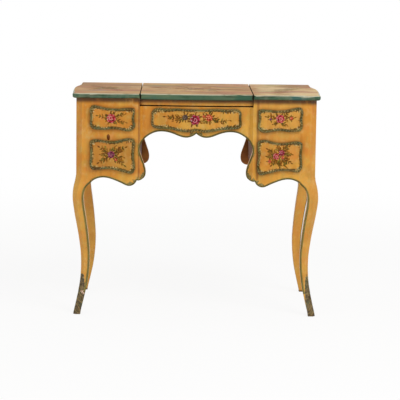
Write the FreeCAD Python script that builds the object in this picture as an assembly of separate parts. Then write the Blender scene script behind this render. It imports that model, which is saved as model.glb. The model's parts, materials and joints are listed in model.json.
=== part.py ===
import FreeCAD, Part
import math
import os

V = FreeCAD.Vector

# Poudreuse dressing table, in millimetres.
# X runs to the sitter's right, Y from the front to the back, Z up.
# The origin lies on the floor, in the middle of the table's outer box.

# Overall sizes
HEIGHT = 750.0
TOP_WIDTH = 840.0
TOP_DEPTH = 450.0
CASE_WIDTH = 804.0

# Top panels: two side flaps and the centre lid
FLAP_THICK = 17.0
LID_THICK = 21.0
LID_REST_GAP = 0.5
SEAM_GAP = 3.4
LID_SEAM_CORNER = 3.5
FLAP_SEAM_CORNER = 7.0
SEAM_CORNER_RUN_OUT_SHARE = 1.02
FLAP_INSET = 0.5
FRONT_OVERHANG = 10.0
BACK_OVERHANG = 4.0
TOP_NOSE_RADIUS = 6.0
FLAP_FRONT_BOW = 2.0
# Side edge of the flap: shares of the depth and of half the width
TOP_SIDE_SHARES = [(0.035, 0.984), (0.10, 0.981), (0.20, 0.988), (0.33, 0.997), (0.45, 1.0),
                   (0.58, 0.998), (0.70, 0.982), (0.79, 0.968), (0.90, 0.966), (1.0, 0.967)]
TOP_CORNER_SHARE = 0.945

# Plan of the case
PEDESTAL_X = 190.0
STILE_WIDTH = 24.0
POST_WIDTH = 55.0
POST_DEPTH = 40.0
CANT = 20.0
REAR_TAPER = 2.5
SIDE_SAGITTA = 6.5
CENTRE_STEP = 14.0
CENTRE_BOW = 10.0
COVE_WIDTH = 12.0

# Board thicknesses
FRONT_BOARD = 18.0
SIDE_BOARD = 14.0
BACK_BOARD = 12.0
INNER_WALL = 12.0
FLOOR_BOARD = 6.0

# Heights of the pedestal fronts, from the top down
TOP_RAIL_HEIGHT = 39.5
UPPER_OPENING_HEIGHT = 55.0
DIVIDER_HEIGHT = 53.0
LOWER_OPENING_HEIGHT = 80.0
APRON_DROP = 66.0
INNER_WALL_DROP = 13.0

# Centre: writing slide, rail, drawer and apron
SLIDE_TOP_GAP = 0.5
SLIDE_THICK = 16.5
SLIDE_SHADOW_GAP = 4.5
CENTRE_RAIL_HEIGHT = 15.0
CENTRE_OPENING_HEIGHT = 48.0
CENTRE_OPENING_HALF = 136.0
CENTRE_APRON_HEIGHT = 21.0

# Lower edge of the kneehole from its middle to the notch beside the wing:
# shares of PEDESTAL_X and of the height between notch and arch
KNEEHOLE_SHARES = [(0.0, 0.964), (0.063, 0.915), (0.158, 0.882), (0.284, 0.903), (0.41, 0.958),
                   (0.595, 1.0), (0.737, 0.976), (0.842, 0.912), (0.932, 0.818), (0.984, 0.709),
                   (0.995, 0.618), (0.974, 0.515), (0.932, 0.376), (0.897, 0.255), (0.886, 0.150),
                   (0.908, 0.062), (0.960, 0.012), (1.042, 0.0)]
NOTCH_DROP_SHARE = 0.712
# Lower edge of the pedestal from the notch to the post: shares of its width and of APRON_DROP
APRON_SHARES = [(0.083, 0.848), (0.146, 0.965), (0.229, 1.0), (0.357, 0.885), (0.48, 0.755),
                (0.611, 0.640), (0.758, 0.580), (0.892, 0.630), (1.0, 0.773)]
BACK_EDGE_LIFT = 4.0
BACK_KNEEHOLE_SHARE = 0.974
# Lower edge of the side panel: shares of its length and of SIDE_EDGE_RISE
SIDE_EDGE_DROP = 43.0
SIDE_EDGE_RISE = 22.0
SIDE_EDGE_SHARES = [(0.0, 0.0), (0.12, 0.62), (0.27, 1.0), (0.40, 0.70), (0.5, 0.38),
                    (0.60, 0.70), (0.73, 1.0), (0.88, 0.62), (1.0, 0.0)]

# How far the straight post reaches below the lower drawer openings
POST_DROP = 28.0
# Cabriole leg below the post: shares of LEG_HEIGHT, outward reach as a share of KNEE_REACH,
# width across the front and width across the side as shares of LEG_WIDTH, cant as a share of it
KNEE_REACH = 9.0
LEG_WIDTH = 35.0
LEG_ARRIS = 2.5
LEG_SHARES = [(0.974, 0.13, 1.568, 1.130, 0.56), (0.953, 0.34, 1.612, 1.140, 0.54),
              (0.937, 0.53, 1.500, 1.140, 0.52), (0.922, 0.71, 1.305, 1.125, 0.49),
              (0.902, 0.93, 1.165, 1.105, 0.46), (0.878, 1.10, 1.085, 1.080, 0.43),
              (0.832, 1.20, 1.055, 1.055, 0.41), (0.780, 0.94, 1.040, 1.040, 0.40),
              (0.715, 0.45, 1.045, 1.045, 0.39), (0.650, -0.15, 1.010, 1.010, 0.37),
              (0.577, -0.82, 0.955, 0.955, 0.35), (0.510, -1.32, 0.910, 0.910, 0.33),
              (0.440, -1.75, 0.865, 0.865, 0.31), (0.375, -1.92, 0.815, 0.815, 0.29),
              (0.310, -1.90, 0.765, 0.765, 0.27), (0.247, -1.68, 0.725, 0.725, 0.25),
              (0.187, -1.24, 0.705, 0.705, 0.24), (0.130, -0.62, 0.690, 0.690, 0.23),
              (0.075, 0.0, 0.675, 0.675, 0.22), (0.030, 0.55, 0.665, 0.665, 0.22),
              (0.0, 0.85, 0.680, 0.680, 0.22)]
# Where boards meet the post its corners are nearly sharp, so that no groove shows
JOINT_ARRIS = 0.4
JOINT_FOOT_SHARE = 0.945
# Squares at the top of a leg that stay against the ends of the apron and the side panel
JOINT_SQUARE = 10.0

# Drawers
FRONT_FACE_GAP = 0.3
LIP_THICK = 5.0
RIM_RAISE = 2.5
RIM_WIDTH = 7.0
DRAWER_SIDE_GAP = 1.0
DRAWER_TOP_GAP = 1.0
RUN_GAP = 0.3
DRAWER_BOARD = 8.0
DRAWER_BOTTOM = 4.0
DRAWER_BOTTOM_LIFT = 3.0
DRAWER_SIDE_SET_DOWN = 4.0
DRAWER_BACK_GAP = 8.0
# How far a drawer's lipped front stands beyond its opening: inner side, outer side, bottom, top
UPPER_LIPS = (8.5, 8.5, 14.0, 17.0)
LOWER_LIPS = (9.5, 8.5, 23.0, 15.0)
CENTRE_LIPS = (16.0, 16.0, 22.0, 10.0)
# Outlines of the fronts: shares of width, from the inner end, and of height
UPPER_FRONT_SHARES = [(0.03, 0.905), (0.17, 0.91), (0.33, 0.885), (0.50, 0.882), (0.68, 0.92),
                      (0.84, 0.99), (0.95, 0.985), (1.0, 0.85), (0.988, 0.52), (1.0, 0.24),
                      (0.955, 0.10), (0.82, 0.05), (0.66, 0.04), (0.54, 0.068), (0.40, 0.065),
                      (0.22, 0.005), (0.07, 0.025), (0.0, 0.16), (0.014, 0.50), (0.0, 0.80)]
LOWER_FRONT_SHARES = [(0.04, 0.985), (0.20, 1.0), (0.38, 0.94), (0.53, 0.92), (0.70, 0.945),
                      (0.90, 0.965), (0.985, 0.92), (1.0, 0.78), (0.99, 0.50), (1.0, 0.22),
                      (0.955, 0.11), (0.80, 0.095), (0.63, 0.115), (0.48, 0.105), (0.33, 0.06),
                      (0.18, 0.01), (0.05, 0.0), (0.0, 0.12), (0.016, 0.46), (0.0, 0.84)]
# Half of the centre front's outline: shares of half its width and of its height
CENTRE_FRONT_SHARES = [(0.20, 0.975), (0.42, 1.0), (0.70, 0.985), (0.85, 1.0), (0.94, 0.94),
                       (0.985, 0.84), (0.988, 0.62), (1.0, 0.40), (0.975, 0.22), (0.90, 0.15),
                       (0.72, 0.125), (0.50, 0.085), (0.30, 0.015), (0.15, 0.0)]
CENTRE_FRONT_TOP_SHARE = 0.97
CENTRE_FRONT_DIP_SHARE = 0.045

# Runners, guides and glue blocks
GUIDE_HEIGHT = 14.0
GUIDE_WIDTH = 11.0
GUIDE_GAP = 0.5
GUIDE_SET_BACK = 22.0
RUNNER_SHELF = 7.0
RUNNER_BEARING = 22.0
SLIDE_LEDGE = 6.0
SLIDE_BEARING = 16.0
GLUE_BLOCK = 16.0
GLUE_BLOCK_LENGTH = 100.0

# Writing slide
SLIDE_SIDE_GAP = 1.0
SLIDE_FRONT_DEPTH = 22.0
SLIDE_BACK_GAP = 14.0
LEATHER_MARGIN = 26.0
LEATHER_THICK = 1.2

# Mirror in the centre lid
MIRROR_WIDTH = 300.0
MIRROR_END_MARGIN = 60.0
MIRROR_THICK = 4.0
MIRROR_EDGE_GAP = 1.0
MIRROR_RECESS = 7.0
BEAD_WIDTH = 10.0
BEAD_THICK = 2.6
BEAD_SET_IN = 0.4

# Butt hinges
KNUCKLE_RADIUS = 3.2
LEAF_THICK = 1.6
KNUCKLE_GAP = 0.4
KNUCKLE_END_GAP = 0.3
HINGE_LENGTH = 36.0
MIDDLE_KNUCKLE_SHARE = 0.33
PIN_RADIUS = 1.2
PIN_CLEARANCE = 0.05
FLAP_LEAF_WIDTH = 17.0
LID_LEAF_WIDTH = 18.0
SCREW_HEAD_RADIUS = 2.6
SCREW_SHANK_RADIUS = 1.1
SCREW_LENGTH = 9.0
SCREW_PLACE_SHARE = 0.72
SCREW_SPREAD_SHARE = 0.32
FLAP_HINGE_SHARES = (0.26, 0.62)
LID_HINGE_SHARE = 0.66

# One overrun for every cut that runs past its board
OVER = 30.0

# Derived places
BARREL_REACH = KNUCKLE_GAP + 2 * KNUCKLE_RADIUS
TOP_FRONT = -(TOP_DEPTH + BARREL_REACH) / 2
TOP_BACK = TOP_FRONT + TOP_DEPTH
CASE_FRONT = TOP_FRONT + FRONT_OVERHANG
CASE_BACK = TOP_BACK - BACK_OVERHANG
CASE_HALF = CASE_WIDTH / 2
CASE_TOP = HEIGHT - FLAP_THICK - LID_REST_GAP
CENTRE_TOP = HEIGHT - LID_THICK - LID_REST_GAP
STILE_X = PEDESTAL_X + STILE_WIDTH
POST_X = CASE_HALF - POST_WIDTH
REAR_HALF = CASE_HALF - REAR_TAPER
REAR_POST_X = REAR_HALF - POST_WIDTH
COVE_X = PEDESTAL_X - COVE_WIDTH
FRAME_BACK = CASE_FRONT + FRONT_BOARD
CENTRE_FACE = CASE_FRONT + CENTRE_STEP
CENTRE_BACK = CENTRE_FACE + FRONT_BOARD
BACK_INSIDE = CASE_BACK - BACK_BOARD
WALL_X = PEDESTAL_X + INNER_WALL
UPPER_TOP = CASE_TOP - TOP_RAIL_HEIGHT
UPPER_BOTTOM = UPPER_TOP - UPPER_OPENING_HEIGHT
LOWER_TOP = UPPER_BOTTOM - DIVIDER_HEIGHT
LOWER_BOTTOM = LOWER_TOP - LOWER_OPENING_HEIGHT
LEG_HEIGHT = LOWER_BOTTOM - POST_DROP
SLIDE_TOP = CENTRE_TOP - SLIDE_TOP_GAP
SLIDE_BOTTOM = SLIDE_TOP - SLIDE_THICK
CENTRE_RAIL_TOP = SLIDE_BOTTOM - SLIDE_SHADOW_GAP
CENTRE_DRAWER_TOP = CENTRE_RAIL_TOP - CENTRE_RAIL_HEIGHT
CENTRE_DRAWER_BOTTOM = CENTRE_DRAWER_TOP - CENTRE_OPENING_HEIGHT
KNEEHOLE_TOP = CENTRE_DRAWER_BOTTOM - CENTRE_APRON_HEIGHT
NOTCH_Z = LOWER_BOTTOM - APRON_DROP * NOTCH_DROP_SHARE
FLAP_X = PEDESTAL_X + FLAP_INSET
LID_X = FLAP_X - SEAM_GAP
MIRROR_DEPTH = TOP_DEPTH - 2 * MIRROR_END_MARGIN


def box(x0, x1, y0, y1, z0, z1):
    """A block between two corners."""
    return Part.makeBox(x1 - x0, y1 - y0, z1 - z0, V(x0, y0, z0))


def line(a, b):
    """A straight edge."""
    return Part.LineSegment(a, b).toShape()


def arc(a, middle, b):
    """An arc through three points."""
    return Part.Arc(a, middle, b).toShape()


def spline(points):
    """A smooth edge through the points."""
    curve = Part.BSplineCurve()
    curve.interpolate(points)
    return curve.toShape()


def loop(points):
    """A closed smooth wire through the points."""
    curve = Part.BSplineCurve()
    curve.interpolate(Points=points, PeriodicFlag=True)
    return Part.Wire([curve.toShape()])


def face(edges):
    """The flat face inside edges given in order."""
    return Part.Face(Part.Wire(edges))


def polygon(points):
    """The flat face inside straight sides."""
    return Part.Face(Part.makePolygon(points + points[:1]))


def mirrored(shape):
    """The same shape on the other side of the middle plane."""
    return shape.mirror(V(0, 0, 0), V(1, 0, 0))


def joined(shapes):
    """One solid of several that meet."""
    return shapes[0].fuse(shapes[1:]).removeSplitter()


def sagitta_radius(half_chord, rise):
    """Radius of the arc over a chord."""
    return (half_chord ** 2 + rise ** 2) / (2 * rise)


parts = {}


def keep(name, shape):
    """Store a piece that stands on the middle plane."""
    parts[name] = shape


def keep_pair(name, right):
    """Store a right-hand piece and its left-hand twin."""
    parts[name + "_right"] = right
    parts[name + "_left"] = mirrored(right)


# Lower edges of the front and the back, shaped alike

def skirt(kneehole_x, post_x, lift, y0, y1):
    """Everything above the shaped lower edge, as deep as asked."""
    rise = KNEEHOLE_TOP - NOTCH_Z
    width = post_x - PEDESTAL_X
    kneehole = [V(kneehole_x * u, y0, NOTCH_Z + lift + rise * v) for u, v in KNEEHOLE_SHARES]
    apron = [kneehole[-1]]
    apron += [V(PEDESTAL_X + width * u, y0, LOWER_BOTTOM + lift - APRON_DROP * v)
              for u, v in APRON_SHARES]
    top_right = V(post_x, y0, HEIGHT)
    top_middle = V(0, y0, HEIGHT)
    edges = [spline(kneehole), spline(apron), line(apron[-1], top_right),
             line(top_right, top_middle), line(top_middle, kneehole[0])]
    half = face(edges).extrude(V(0, y1 - y0, 0))
    return joined([half, mirrored(half)])


# Side panel and the floors that follow its inner face

def side_arc(inset):
    """Plan arc of the side panel from front post to back post, inset from the outer face."""
    front = V(CASE_HALF - inset, CASE_FRONT + POST_DEPTH, 0)
    back = V(REAR_HALF - inset, CASE_BACK - POST_DEPTH, 0)
    middle = (front + back) / 2 + V(SIDE_SAGITTA, 0, 0)
    return front, middle, back


def make_side_panel():
    """Serpentine side board between the posts, with a shaped lower edge."""
    outer = side_arc(0)
    inner = side_arc(SIDE_BOARD)
    edges = [arc(*outer), line(outer[2], inner[2]), arc(inner[2], inner[1], inner[0]),
             line(inner[0], outer[0])]
    board = face(edges).extrude(V(0, 0, CASE_TOP))
    length = outer[2].y - outer[0].y
    low = LOWER_BOTTOM - SIDE_EDGE_DROP
    x0 = REAR_POST_X
    edge = [V(x0, outer[0].y + length * u, low + SIDE_EDGE_RISE * v) for u, v in SIDE_EDGE_SHARES]
    back_top = V(x0, edge[-1].y, CASE_TOP)
    front_top = V(x0, edge[0].y, CASE_TOP)
    shaped = face([spline(edge), line(edge[-1], back_top), line(back_top, front_top),
                   line(front_top, edge[0])])
    return board.common(shaped.extrude(V(POST_WIDTH + OVER, 0, 0)))


def make_floor(z0):
    """Thin board across a pedestal, notched round the posts."""
    front, middle, back = side_arc(SIDE_BOARD)
    corners = [V(REAR_POST_X, back.y, 0), V(REAR_POST_X, BACK_INSIDE, 0), V(WALL_X, BACK_INSIDE, 0),
               V(WALL_X, FRAME_BACK, 0), V(POST_X, FRAME_BACK, 0), V(POST_X, front.y, 0)]
    edges = [arc(front, middle, back), line(back, corners[0])]
    edges += [line(a, b) for a, b in zip(corners, corners[1:])]
    edges.append(line(corners[-1], front))
    board = face(edges).extrude(V(0, 0, FLOOR_BOARD))
    board.translate(V(0, 0, z0))
    return board


# Legs

def leg_section(z, reach, width_x, width_y, cant):
    """Squared section with a canted outer corner; the corner of the case is at zero."""
    joint = JOINT_ARRIS if z > LEG_HEIGHT * JOINT_FOOT_SHARE else LEG_ARRIS
    arrises = [joint, LEG_ARRIS, LEG_ARRIS, joint, joint]
    corners = [V(reach - width_x, -reach, z), V(reach - cant, -reach, z), V(reach, cant - reach, z),
               V(reach, width_y - reach, z), V(reach - width_x, width_y - reach, z)]
    edges = []
    count = len(corners)
    ends = []
    for i in range(count):
        corner = corners[i]
        before = (corners[i - 1] - corner).normalize()
        after = (corners[(i + 1) % count] - corner).normalize()
        half = before.getAngle(after) / 2
        arris = arrises[i]
        setback = arris / math.tan(half)
        inward = (before + after).normalize()
        middle = corner + inward * (arris / math.sin(half) - arris)
        ends.append((corner + before * setback, middle, corner + after * setback))
    for i in range(count):
        edges.append(arc(*ends[i]))
        edges.append(line(ends[i][2], ends[(i + 1) % count][0]))
    return Part.Wire(edges)


def make_leg():
    """Front right leg with its post; the corner of the case is at zero."""
    post_wire = leg_section(LEG_HEIGHT, 0, POST_WIDTH, POST_DEPTH, CANT)
    post = Part.Face(post_wire).extrude(V(0, 0, CASE_TOP - LEG_HEIGHT))
    wires = [post_wire]
    for height, reach, width_x, width_y, cant in LEG_SHARES:
        wires.append(leg_section(LEG_HEIGHT * height, KNEE_REACH * reach, LEG_WIDTH * width_x,
                                 LEG_WIDTH * width_y, LEG_WIDTH * cant))
    wires.reverse()
    shank = Part.makeLoft(wires, True, False)
    apron_end = LOWER_BOTTOM - APRON_DROP * APRON_SHARES[-1][1]
    beside_apron = box(-POST_WIDTH, JOINT_SQUARE - POST_WIDTH, 0, FRONT_BOARD, apron_end, LEG_HEIGHT)
    panel_end = LOWER_BOTTOM - SIDE_EDGE_DROP
    beside_panel = box(-SIDE_BOARD, 0, POST_DEPTH - JOINT_SQUARE, POST_DEPTH, panel_end, LEG_HEIGHT)
    return post.fuse([shank, beside_apron, beside_panel])


def make_legs():
    """Four legs from one pattern."""
    front = make_leg()
    back = front.mirror(V(0, 0, 0), V(0, 1, 0))
    front.translate(V(CASE_HALF, CASE_FRONT, 0))
    back.translate(V(REAR_HALF, CASE_BACK, 0))
    keep_pair("front_leg", front)
    keep_pair("rear_leg", back)


# Case boards

def centre_arc(offset):
    """Plan arc of the bowed centre face, moved forward by an offset, with its ends."""
    rise = CENTRE_BOW
    radius = sagitta_radius(COVE_X, rise)
    middle = V(0, CENTRE_FACE - rise - offset, 0)
    hub = CENTRE_FACE - rise + radius
    reach = math.asin(COVE_X / radius)
    end_x = (radius + offset) * math.sin(reach)
    end_y = hub - (radius + offset) * math.cos(reach)
    return V(-end_x, end_y, 0), middle, V(end_x, end_y, 0)


def centre_slab():
    """Plan of the centre front: bowed face, a cove at each end, flat back."""
    left, middle, right = centre_arc(0)
    shoulder = V(PEDESTAL_X, CASE_FRONT, 0)
    drop = (CENTRE_STEP + COVE_WIDTH) / 2 * (1 - math.sqrt(1 / 2))
    cove_middle = V(COVE_X + drop, CENTRE_FACE - drop, 0)
    back_right = V(PEDESTAL_X, CENTRE_BACK, 0)

    def flip(point):
        return V(-point.x, point.y, 0)

    edges = [arc(left, middle, right), arc(right, cove_middle, shoulder),
             line(shoulder, back_right), line(back_right, flip(back_right)),
             line(flip(back_right), flip(shoulder)),
             arc(flip(shoulder), flip(cove_middle), left)]
    return face(edges).extrude(V(0, 0, HEIGHT))


def make_front_boards(front_skirt):
    """Stiles, rails, dividers, aprons and wings of the front."""
    apron_foot = LOWER_BOTTOM - APRON_DROP - OVER
    stile = box(PEDESTAL_X, STILE_X, CASE_FRONT, FRAME_BACK, apron_foot, CASE_TOP)
    keep_pair("inner_stile", stile.common(front_skirt))
    keep_pair("top_rail", box(STILE_X, POST_X, CASE_FRONT, FRAME_BACK, UPPER_TOP, CASE_TOP))
    keep_pair("drawer_divider", box(STILE_X, POST_X, CASE_FRONT, FRAME_BACK, LOWER_TOP, UPPER_BOTTOM))
    apron = box(STILE_X, POST_X, CASE_FRONT, FRAME_BACK, apron_foot, LOWER_BOTTOM)
    keep_pair("pedestal_apron", apron.common(front_skirt))

    slab = centre_slab()
    half = CENTRE_OPENING_HALF
    near = CASE_FRONT - OVER
    far = CENTRE_BACK + OVER
    wing = slab.common(box(half, PEDESTAL_X, near, far, apron_foot, CENTRE_RAIL_TOP))
    keep_pair("kneehole_wing", wing.common(front_skirt))
    rail = box(-half, half, near, far, CENTRE_DRAWER_TOP, CENTRE_RAIL_TOP)
    keep("centre_rail", slab.common(rail))
    centre = box(-half, half, near, far, NOTCH_Z, CENTRE_DRAWER_BOTTOM)
    keep("centre_apron", slab.common(centre).common(front_skirt))


def make_back_panel():
    """Back board between the rear posts, lower where the centre lid closes over it."""
    kneehole_x = PEDESTAL_X * BACK_KNEEHOLE_SHARE
    back_skirt = skirt(kneehole_x, REAR_POST_X, BACK_EDGE_LIFT, BACK_INSIDE, CASE_BACK)
    board = box(-REAR_POST_X, REAR_POST_X, BACK_INSIDE, CASE_BACK, 0, CASE_TOP).common(back_skirt)
    seam = (LID_X + FLAP_X) / 2
    return board.cut(box(-seam, seam, BACK_INSIDE - OVER, CASE_BACK + OVER, CENTRE_TOP, HEIGHT))


def make_inner_boards():
    """Inner walls, floors, runners, guides and glue blocks."""
    wall_foot = LOWER_BOTTOM - INNER_WALL_DROP
    keep_pair("inner_wall", box(PEDESTAL_X, WALL_X, FRAME_BACK, BACK_INSIDE, wall_foot, CASE_TOP))
    keep_pair("tray_floor", make_floor(UPPER_TOP))
    keep_pair("drawer_shelf", make_floor(UPPER_BOTTOM - FLOOR_BOARD))
    keep_pair("pedestal_floor", make_floor(LOWER_BOTTOM - FLOOR_BOARD))

    def angle_runner(inner, shelf_top, thick, step_x, top):
        low = shelf_top - thick
        corners = [V(inner, CENTRE_BACK, low), V(PEDESTAL_X, CENTRE_BACK, low),
                   V(PEDESTAL_X, CENTRE_BACK, top), V(step_x, CENTRE_BACK, top),
                   V(step_x, CENTRE_BACK, shelf_top), V(inner, CENTRE_BACK, shelf_top)]
        return polygon(corners).extrude(V(0, BACK_INSIDE - CENTRE_BACK, 0))

    half = CENTRE_OPENING_HALF
    runner = angle_runner(half - RUNNER_BEARING, CENTRE_DRAWER_BOTTOM, RUNNER_SHELF,
                          half + GUIDE_GAP, CENTRE_DRAWER_BOTTOM + GUIDE_HEIGHT)
    keep("centre_drawer_runners", Part.makeCompound([runner, mirrored(runner)]))
    ledge = SLIDE_BOTTOM - RUN_GAP
    guide = angle_runner(COVE_X - SLIDE_BEARING, ledge, SLIDE_LEDGE, COVE_X, CENTRE_TOP)
    keep("slide_guides", Part.makeCompound([guide, mirrored(guide)]))

    strips = []
    start = FRAME_BACK + GUIDE_SET_BACK
    for shelf_top in (UPPER_BOTTOM, LOWER_BOTTOM):
        low = shelf_top
        high = shelf_top + GUIDE_HEIGHT
        inner = box(WALL_X, STILE_X + DRAWER_SIDE_GAP - GUIDE_GAP, start, BACK_INSIDE, low, high)
        outer_x = POST_X - DRAWER_SIDE_GAP + GUIDE_GAP
        outer = box(outer_x, outer_x + GUIDE_WIDTH, start, CASE_BACK - POST_DEPTH, low, high)
        outer = outer.cut(box(POST_X, CASE_HALF, CASE_FRONT, CASE_FRONT + POST_DEPTH, low, high))
        strips += [inner, outer, mirrored(inner), mirrored(outer)]
    keep("drawer_guides", Part.makeCompound(strips))

    blocks = []
    middle = (STILE_X + REAR_POST_X) / 2
    x0 = middle - GLUE_BLOCK_LENGTH / 2
    top = LOWER_BOTTOM - FLOOR_BOARD
    for y0, inward in ((FRAME_BACK, 1), (BACK_INSIDE, -1)):
        corners = [V(x0, y0, top), V(x0, y0 + inward * GLUE_BLOCK, top), V(x0, y0, top - GLUE_BLOCK)]
        block = polygon(corners).extrude(V(GLUE_BLOCK_LENGTH, 0, 0))
        blocks += [block, mirrored(block)]
    keep("glue_blocks", Part.makeCompound(blocks))


# Drawers

def inset(points, distance):
    """Points of a closed outline moved inward; the outline runs clockwise seen from the front."""
    moved = []
    count = len(points)
    for i in range(count):
        along = (points[(i + 1) % count] - points[i - 1]).normalize()
        moved.append(points[i] + V(along.z, 0, -along.x) * distance)
    return moved


def front_solids(outline):
    """Panel and raised rim of a lipped front; each solid is a tall prism."""
    reach = V(0, FRONT_BOARD + OVER, 0)
    panel = Part.Face(loop(outline)).extrude(reach)
    field = Part.Face(loop(inset(outline, RIM_WIDTH))).extrude(reach)
    return panel, panel.cut(field)


def make_box(x0, x1, z0, z1, y0, y1):
    """Sides, back and bottom of a drawer behind its front block."""
    top = z1 - DRAWER_SIDE_SET_DOWN
    board = DRAWER_BOARD
    sides = [box(x0, x0 + board, y0, y1, z0, top), box(x1 - board, x1, y0, y1, z0, top),
             box(x0 + board, x1 - board, y1 - board, y1, z0, top)]
    low = z0 + DRAWER_BOTTOM_LIFT
    bottom = box(x0 + board, x1 - board, y0, y1 - board, low, low + DRAWER_BOTTOM)
    return Part.makeCompound(sides), bottom


def make_side_drawer(name, opening_low, opening_high, lips, shares):
    """A drawer in the right pedestal and its twin in the left one."""
    inner_lip, outer_lip, bottom_lip, top_lip = lips
    width = POST_X - STILE_X + inner_lip + outer_lip
    height = opening_high - opening_low + bottom_lip + top_lip
    lip_back = CASE_FRONT - FRONT_FACE_GAP
    start = lip_back - LIP_THICK - RIM_RAISE
    outline = [V(STILE_X - inner_lip + width * u, start, opening_low - bottom_lip + height * v)
               for u, v in shares]
    x0 = STILE_X + DRAWER_SIDE_GAP
    x1 = POST_X - DRAWER_SIDE_GAP
    z0 = opening_low + RUN_GAP
    z1 = opening_high - DRAWER_TOP_GAP
    block = box(x0, x1, lip_back, FRAME_BACK, z0, z1)
    panel, rim = front_solids(outline)
    panel = panel.common(box(0, CASE_HALF, start + RIM_RAISE, lip_back, 0, HEIGHT))
    rim = rim.common(box(0, CASE_HALF, start, start + RIM_RAISE, 0, HEIGHT))
    keep_pair(name + "_front", joined([panel, rim, block]))
    end = CASE_BACK - POST_DEPTH - DRAWER_BACK_GAP
    sides, bottom = make_box(x0, x1, z0, z1, FRAME_BACK, end)
    keep_pair(name + "_sides", sides)
    keep_pair(name + "_bottom", bottom)


def centre_strip(near, far):
    """Bowed strip of the centre face between two offsets in front of it, full height."""
    left, middle, right = centre_arc(near)
    far_left, far_middle, far_right = centre_arc(far)
    edges = [arc(left, middle, right), line(right, far_right),
             arc(far_right, far_middle, far_left), line(far_left, left)]
    return face(edges).extrude(V(0, 0, HEIGHT))


def make_centre_drawer():
    """Wide drawer whose front follows the bow of the centre."""
    half_width = CENTRE_OPENING_HALF + CENTRE_LIPS[0]
    bottom_lip, top_lip = CENTRE_LIPS[2:]
    height = CENTRE_OPENING_HEIGHT + bottom_lip + top_lip
    low = CENTRE_DRAWER_BOTTOM - bottom_lip
    start = CASE_FRONT - OVER / 2
    right = [V(half_width * u, start, low + height * v) for u, v in CENTRE_FRONT_SHARES]
    left = [V(-point.x, start, point.z) for point in reversed(right)]
    top = V(0, start, low + height * CENTRE_FRONT_TOP_SHARE)
    dip = V(0, start, low + height * CENTRE_FRONT_DIP_SHARE)
    outline = [top] + right + [dip] + left
    x1 = CENTRE_OPENING_HALF - DRAWER_SIDE_GAP
    z0 = CENTRE_DRAWER_BOTTOM + RUN_GAP
    z1 = CENTRE_DRAWER_TOP - DRAWER_TOP_GAP
    lip = FRONT_FACE_GAP + LIP_THICK
    behind = centre_slab().common(box(-x1, x1, start, CENTRE_BACK, z0, z1))
    bridge = centre_strip(0, FRONT_FACE_GAP).common(box(-x1, x1, start, CENTRE_BACK, z0, z1))
    block = joined([behind, bridge])
    panel, rim = front_solids(outline)
    panel = panel.common(centre_strip(FRONT_FACE_GAP, lip))
    rim = rim.common(centre_strip(lip, lip + RIM_RAISE))
    keep("centre_drawer_front", joined([panel, rim, block]))
    end = BACK_INSIDE - DRAWER_BACK_GAP
    sides, bottom = make_box(-x1, x1, z0, z1, CENTRE_BACK, end)
    keep("centre_drawer_sides", sides)
    keep("centre_drawer_bottom", bottom)


def make_slide():
    """Writing slide: framed board with a leather and a bowed front lipping that covers the coves."""
    half = COVE_X - SLIDE_SIDE_GAP
    joint = CENTRE_FACE + SLIDE_FRONT_DEPTH
    end = BACK_INSIDE - SLIDE_BACK_GAP
    board = box(-half, half, joint, end, SLIDE_BOTTOM, SLIDE_TOP)
    margin = LEATHER_MARGIN
    leather = box(margin - half, half - margin, joint, end - margin, SLIDE_TOP - LEATHER_THICK, SLIDE_TOP)
    keep("writing_slide", board.cut(leather))
    keep("slide_leather", leather)
    left, middle, right = centre_arc(0)
    ear = PEDESTAL_X - SLIDE_SIDE_GAP
    ear_back = CENTRE_BACK - SLIDE_SIDE_GAP
    corners = [right, V(ear, right.y, 0), V(ear, ear_back, 0), V(half, ear_back, 0), V(half, joint, 0),
               V(-half, joint, 0), V(-half, ear_back, 0), V(-ear, ear_back, 0), V(-ear, left.y, 0), left]
    plan = [line(a, b) for a, b in zip(corners, corners[1:])]
    lipping = face([arc(left, middle, right)] + plan).extrude(V(0, 0, SLIDE_THICK))
    lipping.translate(V(0, 0, SLIDE_BOTTOM))
    keep("slide_front", lipping)


# Hinges: local X runs along the pin, local Y from the pin inward over the case, local Z up

def screw_places(width):
    """Two screws per leaf."""
    spread = HINGE_LENGTH * SCREW_SPREAD_SHARE
    return [(-spread, width * SCREW_PLACE_SHARE), (spread, width * SCREW_PLACE_SHARE)]


def make_screw(x, y, surface, into):
    """Countersunk screw whose head lies flush in a leaf; into is the way it goes."""
    way = V(0, 0, into)
    head = Part.makeCone(SCREW_HEAD_RADIUS, SCREW_SHANK_RADIUS, LEAF_THICK, V(x, y, surface), way)
    shank = Part.makeCylinder(SCREW_SHANK_RADIUS, SCREW_LENGTH, V(x, y, surface), way)
    return head.fuse(shank)


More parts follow.
